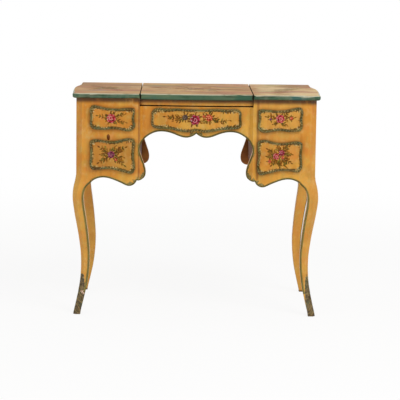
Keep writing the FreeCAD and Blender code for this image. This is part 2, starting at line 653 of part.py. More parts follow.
def hinge(width):
    """Leaves, pin, screws and the room to cut for one hinge."""
    half = HINGE_LENGTH / 2
    middle = HINGE_LENGTH * MIDDLE_KNUCKLE_SHARE / 2
    under = KNUCKLE_RADIUS - LEAF_THICK
    case_top = under - LID_REST_GAP
    case_low = case_top - LEAF_THICK
    plate = KNUCKLE_RADIUS + KNUCKLE_GAP
    along = V(1, 0, 0)

    def knuckle(start, end):
        return Part.makeCylinder(KNUCKLE_RADIUS, end - start, V(start, 0, 0), along)

    bore = Part.makeCylinder(PIN_RADIUS + PIN_CLEARANCE, HINGE_LENGTH + OVER,
                             V(-half - OVER / 2, 0, 0), along)
    inner_end = middle + KNUCKLE_END_GAP
    fixed = [box(-half, half, plate, width, case_low, case_top)]
    for start, end in ((-half, -inner_end), (inner_end, half)):
        fixed += [knuckle(start, end), box(start, end, 0, plate, case_low, case_top)]
    moving = [box(-half, half, plate, width, under, KNUCKLE_RADIUS), knuckle(-middle, middle),
              box(-middle, middle, 0, plate, under, KNUCKLE_RADIUS)]
    fixed_leaf = joined(fixed).cut(bore)
    moving_leaf = joined(moving).cut(bore)
    case_screws = [make_screw(x, y, case_top, -1) for x, y in screw_places(width)]
    lid_screws = [make_screw(x, y, under, 1) for x, y in screw_places(width)]
    fixed_leaf = fixed_leaf.cut(case_screws)
    moving_leaf = moving_leaf.cut(lid_screws)
    pin = Part.makeCylinder(PIN_RADIUS, HINGE_LENGTH, V(-half, 0, 0), along)
    end = half + KNUCKLE_END_GAP
    case_room = box(-end, end, 0, width, case_low, case_top + LID_REST_GAP / 2)
    lid_room = box(-end, end, -plate, width, under - LID_REST_GAP / 2, KNUCKLE_RADIUS)
    return {"case_leaf": [fixed_leaf], "lid_leaf": [moving_leaf], "pin": [pin],
            "case_screws": case_screws, "lid_screws": lid_screws,
            "case_room": [case_room] + case_screws, "lid_room": [lid_room] + lid_screws}


def placed(shapes, matrix):
    """Copies of the shapes moved by a matrix."""
    return [shape.transformed(matrix) for shape in shapes]


def collect(hinges, key):
    """The shapes of one kind from several hinges."""
    return [shape for one in hinges for shape in one[key]]


def flap_hinges(axis_x):
    """Hinges of the right flap at their places."""
    axis_z = HEIGHT - FLAP_THICK - KNUCKLE_RADIUS + LEAF_THICK
    parts_of = hinge(FLAP_LEAF_WIDTH)
    placed_hinges = []
    for share in FLAP_HINGE_SHARES:
        y = TOP_FRONT + TOP_DEPTH * share
        matrix = FreeCAD.Matrix(0, -1, 0, axis_x, 1, 0, 0, y, 0, 0, 1, axis_z, 0, 0, 0, 1)
        placed_hinges.append({key: placed(shapes, matrix) for key, shapes in parts_of.items()})
    return placed_hinges


def lid_hinges():
    """Hinges of the centre lid at their places."""
    axis_z = HEIGHT - LID_THICK - KNUCKLE_RADIUS + LEAF_THICK
    axis_y = TOP_BACK + KNUCKLE_GAP + KNUCKLE_RADIUS
    parts_of = hinge(LID_LEAF_WIDTH)
    placed_hinges = []
    for side in (-1, 1):
        x = LID_X * LID_HINGE_SHARE * side
        matrix = FreeCAD.Matrix(-1, 0, 0, x, 0, -1, 0, axis_y, 0, 0, 1, axis_z, 0, 0, 0, 1)
        placed_hinges.append({key: placed(shapes, matrix) for key, shapes in parts_of.items()})
    return placed_hinges


# Top panels

def rounded_edges(board, plain):
    """Round the nose and the underside of a board's moulded edges; plain says which stay square."""
    moulded = []
    for edge in board.Edges:
        if edge.BoundBox.ZLength < LID_REST_GAP and not plain(edge.CenterOfMass):
            moulded.append(edge)
    return board.makeFillet(TOP_NOSE_RADIUS, moulded)


def worn_corner(x, y, side, reach):
    """What is worn off the front corner of a top board at the seam; side points into the board."""
    over = reach / 2
    near = sorted((x - side * over, x + side * reach))
    block = box(near[0], near[1], y - over, y + reach, HEIGHT / 2, HEIGHT + OVER)
    kept = Part.makeCylinder(reach * SEAM_CORNER_RUN_OUT_SHARE, HEIGHT,
                             V(x + side * reach, y + reach, HEIGHT / 2))
    return block.cut(kept)


def make_flap():
    """Right side flap with its eared front corner and bulged side."""
    low = HEIGHT - FLAP_THICK
    half = TOP_WIDTH / 2
    corner = V(half * TOP_CORNER_SHARE, TOP_FRONT, low)
    start = V(FLAP_X, TOP_FRONT + FLAP_FRONT_BOW, low)
    middle = V((start.x + corner.x) / 2, TOP_FRONT, low)
    side = [V(half * v, TOP_FRONT + TOP_DEPTH * u, low) for u, v in TOP_SIDE_SHARES]
    back = V(FLAP_X, TOP_BACK, low)
    edges = [arc(start, middle, corner), spline([corner] + side), line(side[-1], back), line(back, start)]
    board = face(edges).extrude(V(0, 0, FLAP_THICK))

    def plain(centre):
        return centre.x < FLAP_X + SEAM_GAP or centre.y > TOP_BACK - SEAM_GAP

    return rounded_edges(board, plain).cut(worn_corner(FLAP_X, start.y, 1, FLAP_SEAM_CORNER))


def make_lid():
    """Centre lid with a bowed front and the recess for the mirror."""
    low = HEIGHT - LID_THICK
    left, middle, right = [point + V(0, -FRONT_OVERHANG, low) for point in centre_arc(0)]
    side_r = V(LID_X, right.y, low)
    side_l = V(-LID_X, left.y, low)
    back_r = V(LID_X, TOP_BACK, low)
    back_l = V(-LID_X, TOP_BACK, low)
    edges = [arc(left, middle, right), line(right, side_r), line(side_r, back_r),
             line(back_r, back_l), line(back_l, side_l), line(side_l, left)]
    board = face(edges).extrude(V(0, 0, LID_THICK))

    def plain(centre):
        return centre.y > right.y + SEAM_GAP

    corners = [worn_corner(LID_X * way, right.y, -way, LID_SEAM_CORNER) for way in (1, -1)]
    return rounded_edges(board, plain).cut(corners)


def mirror_frame(margin, z0, z1):
    """Block in the mirror's place, smaller than the recess by a margin all round."""
    half = MIRROR_WIDTH / 2 - margin
    depth = MIRROR_DEPTH / 2 - margin
    middle = (TOP_FRONT + TOP_BACK) / 2 + CENTRE_STEP / 2
    return box(-half, half, middle - depth, middle + depth, z0, z1)


def make_top(side_panel):
    """Flaps, lid, mirror and all hinges; returns the case's cutters."""
    axis_x = side_panel.BoundBox.XMax + KNUCKLE_GAP + KNUCKLE_RADIUS
    of_flap = flap_hinges(axis_x)
    of_lid = lid_hinges()
    keep_pair("flap", make_flap().cut(collect(of_flap, "lid_room")))
    flap_iron = collect(of_flap, "lid_leaf") + collect(of_flap, "lid_screws")
    keep_pair("flap_hinge_leaves", Part.makeCompound(flap_iron))

    low = HEIGHT - LID_THICK
    recess = mirror_frame(0, low - LID_REST_GAP, low + MIRROR_RECESS)
    keep("centre_lid", make_lid().cut(collect(of_lid, "lid_room") + [recess]))
    lid_iron = collect(of_lid, "lid_leaf") + collect(of_lid, "lid_screws")
    keep("lid_hinge_leaves", Part.makeCompound(lid_iron))
    glass_low = low + MIRROR_RECESS - MIRROR_THICK
    keep("mirror_glass", mirror_frame(MIRROR_EDGE_GAP, glass_low, low + MIRROR_RECESS))
    bead_low = low + BEAD_SET_IN
    bead = mirror_frame(0, bead_low, bead_low + BEAD_THICK)
    keep("mirror_beading", bead.cut(mirror_frame(BEAD_WIDTH, low, low + MIRROR_RECESS)))

    flap_sides = {}
    for key in ("case_leaf", "pin", "case_screws", "case_room"):
        right = collect(of_flap, key)
        flap_sides[key] = right + [mirrored(shape) for shape in right]
    for name, key in (("case_hinge_leaves", "case_leaf"), ("hinge_pins", "pin"),
                      ("case_hinge_screws", "case_screws")):
        keep(name, Part.makeCompound(flap_sides[key] + collect(of_lid, key)))
    print("flap hinge axis x %.3f z %.3f" % (axis_x, HEIGHT - FLAP_THICK - KNUCKLE_RADIUS + LEAF_THICK))
    print("lid hinge axis y %.3f z %.3f" % (TOP_BACK + KNUCKLE_GAP + KNUCKLE_RADIUS,
                                            HEIGHT - LID_THICK - KNUCKLE_RADIUS + LEAF_THICK))
    return collect(of_flap, "case_room"), collect(of_lid, "case_room")


def build():
    """Make every piece and write one file for each."""
    front_skirt = skirt(PEDESTAL_X, POST_X, 0, CASE_FRONT - OVER, CENTRE_BACK + OVER)
    side_panel = make_side_panel()
    side_room, back_room = make_top(side_panel)
    make_legs()
    keep_pair("side_panel", side_panel.cut(side_room))
    keep("back_panel", make_back_panel().cut(back_room))
    make_front_boards(front_skirt)
    make_inner_boards()
    make_side_drawer("upper_drawer", UPPER_BOTTOM, UPPER_TOP, UPPER_LIPS, UPPER_FRONT_SHARES)
    make_side_drawer("lower_drawer", LOWER_BOTTOM, LOWER_TOP, LOWER_LIPS, LOWER_FRONT_SHARES)
    make_centre_drawer()
    make_slide()
    os.makedirs("parts", exist_ok=True)
    for name, shape in sorted(parts.items()):
        shape.exportStep("parts/%s.step" % name)
        size = (name, len(shape.Solids), shape.isValid(), shape.Volume)
        print("%-26s %2d solids  valid %s  %.0f mm3" % size)
    print(len(parts), "nodes")


build()
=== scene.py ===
# %% [markdown]
# # Dressing a painted dressing table
# The piece is a poudreuse, a small dressing table in the taste of the mid eighteenth century.
# Its beech frame was covered with a thin ground, painted ochre, and trimmed with green edges,
# carved cartouches and small sprays of roses. Two hundred years of hands have worn the paint.
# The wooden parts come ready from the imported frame. This lesson gives them their finishes and
# adds what a painter and a carver did last: rims, edge beads, flowers, leaves and wear.

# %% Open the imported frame
import json
import math
import random

import bmesh
import bpy
import numpy as np
from mathutils import Matrix, Vector
from mathutils.bvhtree import BVHTree

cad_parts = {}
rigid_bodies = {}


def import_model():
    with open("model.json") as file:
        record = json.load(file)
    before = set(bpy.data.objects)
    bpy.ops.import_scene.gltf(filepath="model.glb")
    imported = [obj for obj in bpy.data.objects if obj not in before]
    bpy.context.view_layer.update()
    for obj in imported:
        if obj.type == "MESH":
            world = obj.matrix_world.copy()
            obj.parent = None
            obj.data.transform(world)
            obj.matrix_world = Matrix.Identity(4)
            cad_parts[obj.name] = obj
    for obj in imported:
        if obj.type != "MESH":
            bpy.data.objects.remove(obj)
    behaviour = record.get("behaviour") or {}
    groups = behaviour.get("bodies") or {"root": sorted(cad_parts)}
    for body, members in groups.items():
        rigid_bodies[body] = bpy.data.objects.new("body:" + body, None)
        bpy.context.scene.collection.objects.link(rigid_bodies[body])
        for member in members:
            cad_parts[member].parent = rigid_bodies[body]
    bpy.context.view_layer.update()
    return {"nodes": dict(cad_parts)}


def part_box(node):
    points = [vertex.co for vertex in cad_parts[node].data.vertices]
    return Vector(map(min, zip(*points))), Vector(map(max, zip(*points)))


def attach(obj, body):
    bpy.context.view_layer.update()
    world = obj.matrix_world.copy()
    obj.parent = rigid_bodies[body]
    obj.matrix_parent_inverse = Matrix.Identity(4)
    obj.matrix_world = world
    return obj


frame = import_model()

MM = 0.001

# %% [markdown]
# ## The camera
# The photograph was taken from about six metres with a long lens, a little above the top, which
# is why the top shows only as a thin strip. Such a flat view could be made with an orthographic
# camera, but the inner faces of the legs show that there was some perspective. So the camera
# stands where a fit on the corners of the table put it.

# %% Place the camera
FOCAL_PX = 1773.87
IMAGE_PX = 400
SENSOR_MM = 36.0
FARTHEST = 300.0
CAMERA_PLACE = Vector((-58.26, -6113.74, 1260.9)) * MM
PITCH, YAW, ROLL = (math.radians(angle) for angle in (8.365, 0.713, 0.735))

forward = Vector((math.sin(YAW) * math.cos(PITCH), math.cos(YAW) * math.cos(PITCH), -math.sin(PITCH)))
right = Vector((math.cos(YAW), -math.sin(YAW), 0.0))
up = right.cross(forward)
camera_x = right * math.cos(ROLL) + up * math.sin(ROLL)
camera_y = up * math.cos(ROLL) - right * math.sin(ROLL)

lens = bpy.data.cameras.new("camera")
lens.sensor_width = SENSOR_MM
lens.lens = FOCAL_PX / IMAGE_PX * SENSOR_MM
lens.clip_end = FARTHEST
camera = bpy.data.objects.new("camera", lens)
turned = Matrix((camera_x, camera_y, -forward)).transposed().to_4x4()
camera.matrix_world = Matrix.Translation(CAMERA_PLACE) @ turned
bpy.context.scene.collection.objects.link(camera)
bpy.context.scene.camera = camera
bpy.context.scene.view_settings.view_transform = "Standard"
print("lens", round(lens.lens, 2), "mm")

# %% [markdown]
# ## Shader maths as plain expressions
# A finish is worked out from numbers that change over the surface: how cloudy the ground is, how
# far a crack is, how worn a corner is. Adding each Math node by hand hides the thought. A small
# class can hold a socket and answer to plus, minus and times, so that a mask is written as one
# expression. One method adds every other kind of node, and another lays thin coats of colour.

# %% A wire that can be calculated with
class Wire:
    """One output socket of a shader node, used in sums as if it were a number."""

    def __init__(self, recipe, socket):
        self.recipe = recipe
        self.socket = socket

    def maths(self, operation, first, second=None, clamp=False):
        values = {0: first} if second is None else {0: first, 1: second}
        return self.recipe.node("Math", {"operation": operation, "use_clamp": clamp}, values)

    def __add__(self, other):
        return self.maths("ADD", self, other)

    def __sub__(self, other):
        return self.maths("SUBTRACT", self, other)

    def __rsub__(self, other):
        return self.maths("SUBTRACT", other, self)

    def __mul__(self, other):
        return self.maths("MULTIPLY", self, other)

    __radd__ = __add__
    __rmul__ = __mul__

    def __abs__(self):
        return self.maths("ABSOLUTE", self)

    def wave(self):
        return self.maths("SINE", self)

    def lesser(self, other):
        return self.maths("MINIMUM", self, other)

    def clamped(self):
        return self.maths("ADD", self, 0.0, clamp=True)

    def step(self, low, high):
        """0 below low and 1 above high, with a soft slope between; low may be the higher one."""
        settings = {"interpolation_type": "SMOOTHSTEP"}
        return self.recipe.node("MapRange", settings, {"Value": self, "From Min": low, "From Max": high})


# %% A recipe that adds the nodes
def tint(code):
    """A colour from a paint chart, written #rrggbb, in the linear numbers that shaders use."""
    shares = [int(code[i:i + 2], 16) / 255 for i in (1, 3, 5)]
    return tuple(s / 12.92 if s <= 0.04045 else ((s + 0.055) / 1.055) ** 2.4 for s in shares) + (1.0,)


class Recipe:
    """A node tree, with one method for every node, and short ones for colours and vectors."""

    def __init__(self, tree):
        self.tree = tree
        self.tree.nodes.clear()

    def find(self, sockets, key):
        if isinstance(key, int):
            return sockets[key]
        return next(socket for socket in sockets if key in (socket.identifier, socket.name))

    def node(self, kind, settings=None, sockets=None, output=0):
        """Adds a node: its settings first, then a wire, a number or a colour's code for its sockets."""
        node = self.tree.nodes.new("ShaderNode" + kind)
        for key, value in (settings or {}).items():
            setattr(node, key, value)
        for key, value in (sockets or {}).items():
            socket = self.find(node.inputs, key)
            if isinstance(value, Wire):
                self.tree.links.new(value.socket, socket)
            else:
                socket.default_value = tint(value) if isinstance(value, str) else value
        return Wire(self, self.find(node.outputs, output)) if len(node.outputs) else None

    def vector(self, operation, first, second, output=0):
        return self.node("VectorMath", {"operation": operation}, {0: first, 1: second}, output)

    def axes(self, vector, names):
        """The parts of a vector along the named axes, one wire for each."""
        return [self.node("SeparateXYZ", {}, {"Vector": vector}, name) for name in names]

    def mix(self, first, second, amount):
        """A colour between two others, by an amount from 0 to 1."""
        values = {"Factor_Float": amount, "A_Color": first, "B_Color": second}
        return self.node("Mix", {"data_type": "RGBA"}, values, "Result_Color")

    def coats(self, colour, *coats):
        """The colour under thin coats, each given as its colour and how much of it shows."""
        for coat, amount in coats:
            colour = self.mix(colour, coat, amount)
        return colour

    def noise(self, spot, scale, detail=3.0, stretch=None, rough=0.5):
        if stretch:
            spot = self.vector("MULTIPLY", spot, stretch)
        values = {"Vector": spot, "Scale": scale, "Detail": detail, "Roughness": rough}
        return self.node("TexNoise", {}, values)

    def surface(self, sockets, height=None, depth=0.0004):
        """Ends the recipe with a Principled shader, over a bump if a height is given."""
        if height is not None:
            sockets["Normal"] = self.node("Bump", {}, {"Height": height, "Distance": depth})
        shader = self.node("BsdfPrincipled", {}, sockets)
        self.node("OutputMaterial", {}, {"Surface": shader})


def new_recipe(name):
    """A new material, its recipe, and the place on the table, which most noises start from."""
    material = bpy.data.materials.new(name)
    material.use_nodes = True
    recipe = Recipe(material.node_tree)
    return material, recipe, recipe.node("TexCoord", {}, {}, "Object")


print("a mid ochre is", [round(c, 3) for c in tint("#cc8a3a")])

# %% [markdown]
# ## The studio
# The table stood on a white sweep of paper that shows only a breath of shadow. A floor lit until
# it burns out would burn out the table too. So the floor is pale and takes the real shadow, and
# what the camera sees of it is mixed with plain white, more and more with distance.

# %% Lay the floor and the sky
SEES = ("Is Camera Ray", "Is Glossy Ray", "Is Transmission Ray")
FLOOR_SIDE = 240.0
NEAR_WHITE = 0.88
SKY_LIGHT = 0.56


def eye(recipe):
    """1 for rays whose hit is seen as a picture: by the camera, in a mirror or through glass."""
    rays = [recipe.node("LightPath", {}, {}, name) for name in SEES]
    return (rays[0] + rays[1] + rays[2]).clamped()


material, r, spot = new_recipe("studio_paper")
distance = r.vector("LENGTH", spot, (0.0, 0.0, 0.0), "Value")
white = eye(r) * (NEAR_WHITE + distance.step(0.9, 3.2) * (1 - NEAR_WHITE))
paper = r.node("BsdfDiffuse", {}, {"Color": "#f4f3f1"})
glow = r.node("Emission", {}, {"Color": "#ffffff", "Strength": 1.0})
r.node("OutputMaterial", {}, {"Surface": r.node("MixShader", {}, {0: white, 1: paper, 2: glow})})

floor_mesh = bpy.data.meshes.new("floor")
half = FLOOR_SIDE / 2
corners = [(-half, -half, 0), (half, -half, 0), (half, half, 0), (-half, half, 0)]
floor_mesh.from_pydata(corners, [], [(0, 1, 2, 3)])
floor_mesh.materials.append(material)
floor = bpy.data.objects.new("floor", floor_mesh)
bpy.context.scene.collection.objects.link(floor)

world = bpy.data.worlds.new("sky")
world.use_nodes = True
bpy.context.scene.world = world
r = Recipe(world.node_tree)
seen = eye(r)
sky = r.node("Background", {}, {"Color": "#ffffff", "Strength": seen + (1 - seen) * SKY_LIGHT})
r.node("OutputWorld", {}, {"Surface": sky})
print("floor", FLOOR_SIDE, "m, sky", SKY_LIGHT)

# %% [markdown]
# ## Two soft lamps
# The right corner of the table is the brightest and the underside of the top throws a short
# shadow, so the main lamp was large, high and to the right of the camera. A weaker one on the
# left keeps the left flank from going dull. Both are wide area lamps, which give soft edges.

# %% Hang the lamps
LAMPS = {"key": ((2.0, -2.5, 3.5), 2.0, 80.0), "fill": ((-2.8, -3.2, 2.0), 2.8, 22.0)}
LAMP_AIM = Vector((0.0, 0.0, 0.45))
for name, (place, side, watts) in LAMPS.items():
    light = bpy.data.lights.new(name, "AREA")
    light.size = side
    light.energy = watts
    lamp = bpy.data.objects.new(name, light)
    lamp.location = place
    lamp.rotation_euler = (LAMP_AIM - Vector(place)).to_track_quat("-Z", "Y").to_euler()
    bpy.context.scene.collection.objects.link(lamp)
    print(name, watts, "W")

# %% [markdown]
# ## The ochre ground
# The ground is a yellow ochre bound in oil, dragged on with a coarse brush, up and down the
# boards. Under varnish it has gone cloudy, darker in the corners where dirt was never wiped
# away, and lighter on the edges where hands and cloths rubbed it. The darkening in the corners
# is also painted shade. A flat colour would look like new plastic. So several noises of
# different size, stretched along the brush, mix nine ochres, a short look around each point
# finds the corners, and a rounded normal finds the edges.

# %% Mix the ochre
# How far the look round each point reaches when it darkens recesses with dirt and painted shade.
DIRT_AND_SHADE_REACH = 16 * MM
EDGE_RADIUS = 1.8 * MM


def weathering(r, spot):
    """Where dirt and painted shade darken the recesses, where edges are rubbed and where the varnish has
    cracked, each 0 to 1.
    """
    shelter = 1 - r.node("AmbientOcclusion", {"samples": 4}, {"Distance": DIRT_AND_SHADE_REACH}, "AO")
    rounded = r.node("Bevel", {"samples": 4}, {"Radius": EDGE_RADIUS})
    straight = r.node("NewGeometry", {}, {}, "Normal")
    corner = (1 - r.vector("DOT_PRODUCT", rounded, straight, "Value")).step(0.01, 0.12)
    patches = r.noise(spot, 26.0, 4.0)
    rubbed = corner * shelter.step(0.45, 0.15) * patches.step(0.38, 0.6)
    cells = r.node("TexVoronoi", {"feature": "DISTANCE_TO_EDGE"}, {"Vector": spot, "Scale": 240.0})
    cracked = cells.step(0.05, 0.0) * r.noise(spot, 9.0, 2.0).step(0.45, 0.65)
    return shelter.step(0.12, 0.75), rubbed, cracked


def ochre(r, spot):
    """The ground's colour, and the height of its brush marks."""
    cloud = r.noise(spot, 6.5, 4.0)
    drag = r.noise(spot, 95.0, 5.0, (1.0, 1.0, 0.12), 0.6)
    broad = r.noise(spot, 30.0, 3.0, (1.0, 1.0, 0.4))
    golden = r.noise(spot, 11.0, 3.0, (1.0, 1.0, 0.6))
    olive = r.noise(spot, 40.0, 3.0, (1.0, 1.0, 0.8))
    chalky = r.noise(spot, 62.0, 4.0, (1.0, 1.0, 0.8))
    rosy = r.noise(spot, 24.0, 2.0, (0.8, 1.0, 1.0))
    colour = r.coats(
        r.mix("#d08829", "#dc9c3a", cloud.step(0.4, 0.6)),
        ("#b8741f", broad.step(0.5, 0.68) * 0.5),
        ("#e0ae44", golden.step(0.53, 0.68) * 0.55),
        ("#c39a40", olive.step(0.48, 0.66) * 0.5),
        ("#deb46c", chalky.step(0.5, 0.72) * 0.4),
        ("#da7f35", rosy.step(0.47, 0.32) * 0.35),
        ("#9d5a1a", drag.step(0.52, 0.72) * 0.26),
        ("#e0aa45", drag.step(0.46, 0.32) * 0.26))
    return colour, drag


def soiled(r, spot, colour, height, wear=1.0, grime_and_shade=1.0):
    """Colour, height and roughness after two centuries of dirt, rubbing and small knocks, with painted shade
    in the recesses.
    """
    dirt_and_shade, rubbed, cracked = weathering(r, spot)
    rubbed = rubbed * wear
    dirt_and_shade = dirt_and_shade * grime_and_shade
    knock = r.noise(spot, 160.0, 3.0).step(0.705, 0.735) * r.noise(spot, 12.0, 2.0).step(0.5, 0.62)
    chip = r.noise(r.vector("ADD", spot, (3.0, 1.0, 2.0)), 120.0, 2.0).step(0.775, 0.79)
    # The dark brown in the recesses is dirt and painted shade together.
    colour = r.coats(
        colour, ("#4e2a0e", dirt_and_shade * 0.65), ("#dcb878", rubbed * 0.5), ("#6b4218", cracked * 0.22),
        ("#4d2c12", knock * 0.8), ("#d2b078", chip * 0.7))
    height = height * 0.5 + r.noise(spot, 420.0, 2.0) * 0.25 - cracked * 0.5 - knock * 0.8 - chip * 0.8
    rough = 0.36 + height * 0.12 + dirt_and_shade * 0.2 + rubbed * 0.12
    return colour, height, rough


def shadowed(r, spot, colour):
    """A painted shadow: a dark brown band on the boards close under the overhanging top."""
    z = r.axes(spot, "Z")[0]
    # The band is painted shadow under the overhang of the top.
    shadow_under_top = z.step(0.712, 0.727) * r.noise(spot, 40.0, 3.0, (1.0, 1.0, 0.3)).step(0.1, 0.5)
    return r.mix(colour, "#3a1a05", shadow_under_top * 0.88)


# Painted shade of the cove at the seam inside each pedestal: its x, and how far it reaches.
SEAM_SHADES = ((-0.1915, 0.005), (0.2055, 0.0065))
# Where a face looks back to the middle of the table from this far out, the board is bare.
BOARD_X = 0.34
BOARD_Y = 0.17

material_of = {}
# Each paint has its own darkening: on the slide front it is painted shadow under the lid, on the drawer
# fronts a darker tone.
for name, shade in (("ochre_paint", 0.0), ("slide_paint", 0.12), ("drawer_paint", 0.08)):
    material, r, spot = new_recipe(name)
    x, y, z = r.axes(spot, "XYZ")
    across, away = r.axes(r.node("TexCoord", {}, {}, "Normal"), "XY")
    inside = (0 - y * away).step(0.7 * BOARD_Y, BOARD_Y) + (0 - x * across).step(BOARD_X - 0.04, BOARD_X)
    inside = inside.clamped()
    colour, height = ochre(r, spot)
    # Each seam darkens the ochre beside it with painted shade of the cove.
    for seam_x, reach in SEAM_SHADES:
        seam_shade = abs(x - seam_x).step(reach * 1.2, 0.0) * z.step(0.455, 0.47)
        colour = r.mix(colour, "#7c4009", seam_shade * 0.7)
    # The upper right is lightened towards yellow as painted light from the lamp side.
    colour = r.mix(colour, "#e0b25a", x.step(0.1, 0.3) * z.step(0.5, 0.62) * 0.22)
    # Darker towards the lower left, most on the drawer fronts; shadowed lays a painted shadow under the top.
    shade = x.step(0.1, -0.15) * z.step(0.62, 0.57) * (0.25 if name == "drawer_paint" else 0.04) + shade
    colour = r.mix(shadowed(r, spot, colour), "#7d4a10", shade)
    grain = r.noise(spot, 34.0, 5.0, (0.1, 1.0, 1.0))
    bare = r.mix("#8a4f1b", "#a06424", grain.step(0.38, 0.62))
    colour, height, rough = soiled(r, spot, r.mix(colour, bare, inside), height)
    r.surface({"Base Color": colour, "Roughness": rough + inside * 0.25, "Specular IOR Level": 0.3}, height)
    material_of[name] = material
print("ochre has", len(r.tree.nodes), "nodes")

# %% [markdown]
# ## Painted shoes
# The feet end in sabots, which are leaf shaped shoes. On costly tables these are gilt bronze.
# Here they are only painted, in dark greens and browns, and a leaf climbs the outer edge of each
# front leg; the rear feet have none. The leg's own curve is needed to know which side is the outer
# one, so the recipe works out how far the foot has swung out at each height and measures from it.

# %% Paint the legs
# Where a leg is cut to read its curve, in millimetres above the floor.
FOOT_HEIGHTS = (0.5, 20.0, 40.0, 62.0, 90.0, 118.0, 150.0)
# How high a shoe reaches on the inner side of each foot, and the tip of its leaf on the outer side.
SHOE_INNERS = {"left": 0.064, "right": 0.03}
SHOE_OUTER = 0.142


def section(part, z):
    """The lowest and highest x, y and z of a level cut through a part."""
    work = bmesh.new()
    work.from_mesh(part.data)
    every = work.verts[:] + work.edges[:] + work.faces[:]
    cut = bmesh.ops.bisect_plane(work, geom=every, plane_co=(0, 0, z), plane_no=(0, 0, 1))["geom_cut"]
    places = np.array([tuple(item.co) for item in cut if isinstance(item, bmesh.types.BMVert)])
    work.free()
    return places.min(0), places.max(0)


front_leg, rear_leg = frame["nodes"]["front_leg_right"], frame["nodes"]["rear_leg_right"]
cuts = [section(front_leg, height * MM) for height in FOOT_HEIGHTS]
middles = [float(low[0] + high[0]) / 2 for low, high in cuts]
swing_terms = [float(term) for term in np.polyfit([height * MM for height in FOOT_HEIGHTS], middles, 3)]
half_foot = float(cuts[2][1][0] - cuts[2][0][0]) / 2
foot_y = float(cuts[0][0][1] + cuts[0][1][1]) / 2
rear_low, rear_high = section(rear_leg, FOOT_HEIGHTS[0] * MM)
rear_shift = middles[0] - float(rear_low[0] + rear_high[0]) / 2
rear_y = float(rear_low[1] + rear_high[1]) / 2

material, r, spot = new_recipe("leg_paint")
x, y, z = r.axes(spot, "XYZ")
low = z.lesser(FOOT_HEIGHTS[-1] * MM)
middle = ((low * swing_terms[0] + swing_terms[1]) * low + swing_terms[2]) * low + swing_terms[3]
rear = y.step(-0.001, 0.001)
outer_x = (abs(x) + rear * rear_shift - middle) * (1 / half_foot)
outer_y = (abs(y - (foot_y + rear_y) / 2) - (rear_y - foot_y) / 2 - (middle - middles[0])) * (1 / half_foot)
outer = ((outer_x + outer_y) * 0.25 + 0.5).clamped()
tongue = (z * 520.0 - outer * 9.0 + r.noise(spot, 50.0, 2.0) * 3.0).wave()
inner_z = x.step(-0.001, 0.001) * (SHOE_INNERS["right"] - SHOE_INNERS["left"]) + SHOE_INNERS["left"]
climb = outer.step(0.35, 1.0) * (SHOE_OUTER - inner_z)
border = z - inner_z - climb + tongue * 0.003
shoe = border.step(0.003, 0.0) * (1 - rear)
streak = (z * 420.0 - outer * 9.0 + r.noise(spot, 40.0, 2.0) * 4.0).wave() * 0.5 + 0.5
vein = streak * r.noise(spot, 60.0, 2.0).step(0.3, 0.6)
leaf_paint = r.coats(
    r.mix("#4b3d2a", "#7d6843", r.noise(spot, 70.0, 3.0, (1.0, 1.0, 0.3)).step(0.4, 0.6)),
    ("#465238", r.noise(spot, 31.0, 3.0).step(0.52, 0.62) * 0.6),
    ("#9c8656", vein.step(0.55, 0.95) * 0.6),
    ("#2a2219", r.noise(spot, 55.0, 4.0).step(0.54, 0.64) * 0.65),
    ("#b9a26a", border.step(-0.005, -0.002) * 0.5))
ground, height = ochre(r, spot)
colour = r.coats(
    shadowed(r, spot, ground), ("#deb05a", z.step(0.55, 0.4) * 0.25),
    ("#3b2412", z.step(0.008, 0.002) * 0.85), (leaf_paint, shoe))
colour, height, rough = soiled(r, spot, colour, height + vein * shoe * 0.8)
r.surface({"Base Color": colour, "Roughness": rough, "Specular IOR Level": 0.3}, height)
leg_material = material
print("foot middles", [round(middle_x / MM, 1) for middle_x in middles])

# %% [markdown]
# ## The worn top
# The top was the work surface. Its painting has been scrubbed down to a mottled beige, with rosy
# and olive traces of what was there, and grey where damp got in. The moulded edge kept its green;
# along its upper turn a pale band is both rubbed paint and a painted highlight, and its lower turn
# is darkened as painted shade. One material does both, because they are one board: the
# direction that the surface faces decides which paint is there.

# %% Paint the top boards
def scrubbed(r, spot):
    """The worn beige of the top, and the height of the marks that wiping it left to right has made."""
    wiped = r.noise(spot, 60.0, 6.0, (0.09, 1.0, 1.0), 0.62)
    cloud = r.noise(spot, 5.0, 4.0, (0.6, 1.0, 1.0))
    x, y = r.axes(spot, "XY")
    used = (x.step(0.1, 0.25) - x.step(-0.16, -0.3) * 0.3) * 0.15
    worn = r.noise(spot, 6.0, 4.0, (0.8, 1.0, 1.0), 0.6) + used
    rosy = r.noise(spot, 13.0, 4.0, (0.35, 1.0, 1.0))
    olive = r.noise(spot, 16.0, 3.0, (0.3, 1.3, 1.0))
    damp = r.noise(spot, 21.0, 3.0, (0.4, 1.0, 2.0))
    colour = r.coats(
        r.mix("#a97c50", "#c79c66", cloud.step(0.42, 0.58)),
        ("#dfc491", (worn - abs(y + 0.05) * 0.3).step(0.5, 0.62) * 0.85),
        ("#b27458", rosy.step(0.53, 0.62) * 0.75),
        ("#8a7c42", olive.step(0.56, 0.66) * 0.7),
        ("#948877", damp.step(0.6, 0.68) * 0.6),
        ("#70451f", wiped.step(0.53, 0.68) * 0.7),
        ("#dcc08c", wiped.step(0.43, 0.3) * 0.5))
    return colour, wiped


def green_edge(r, spot):
    """The green of the moulded edge, brushed along it."""
    along = r.noise(spot, 70.0, 4.0, (0.12, 0.12, 1.2))
    bluish = r.noise(spot, 17.0, 2.0, (0.5, 1.0, 1.0))
    handled = abs(r.axes(spot, "X")[0]).step(0.19, 0.22) * r.noise(spot, 33.0, 4.0).step(0.4, 0.62)
    return r.coats(
        r.mix("#3b5d48", "#526a51", r.noise(spot, 12.0, 3.0).step(0.4, 0.6)),
        ("#3f6664", bluish.step(0.52, 0.64) * 0.6),
        ("#75805a", along.step(0.55, 0.7) * 0.6),
        ("#2a3320", along.step(0.45, 0.33) * 0.6),
        ("#a7a58c", handled * 0.2))


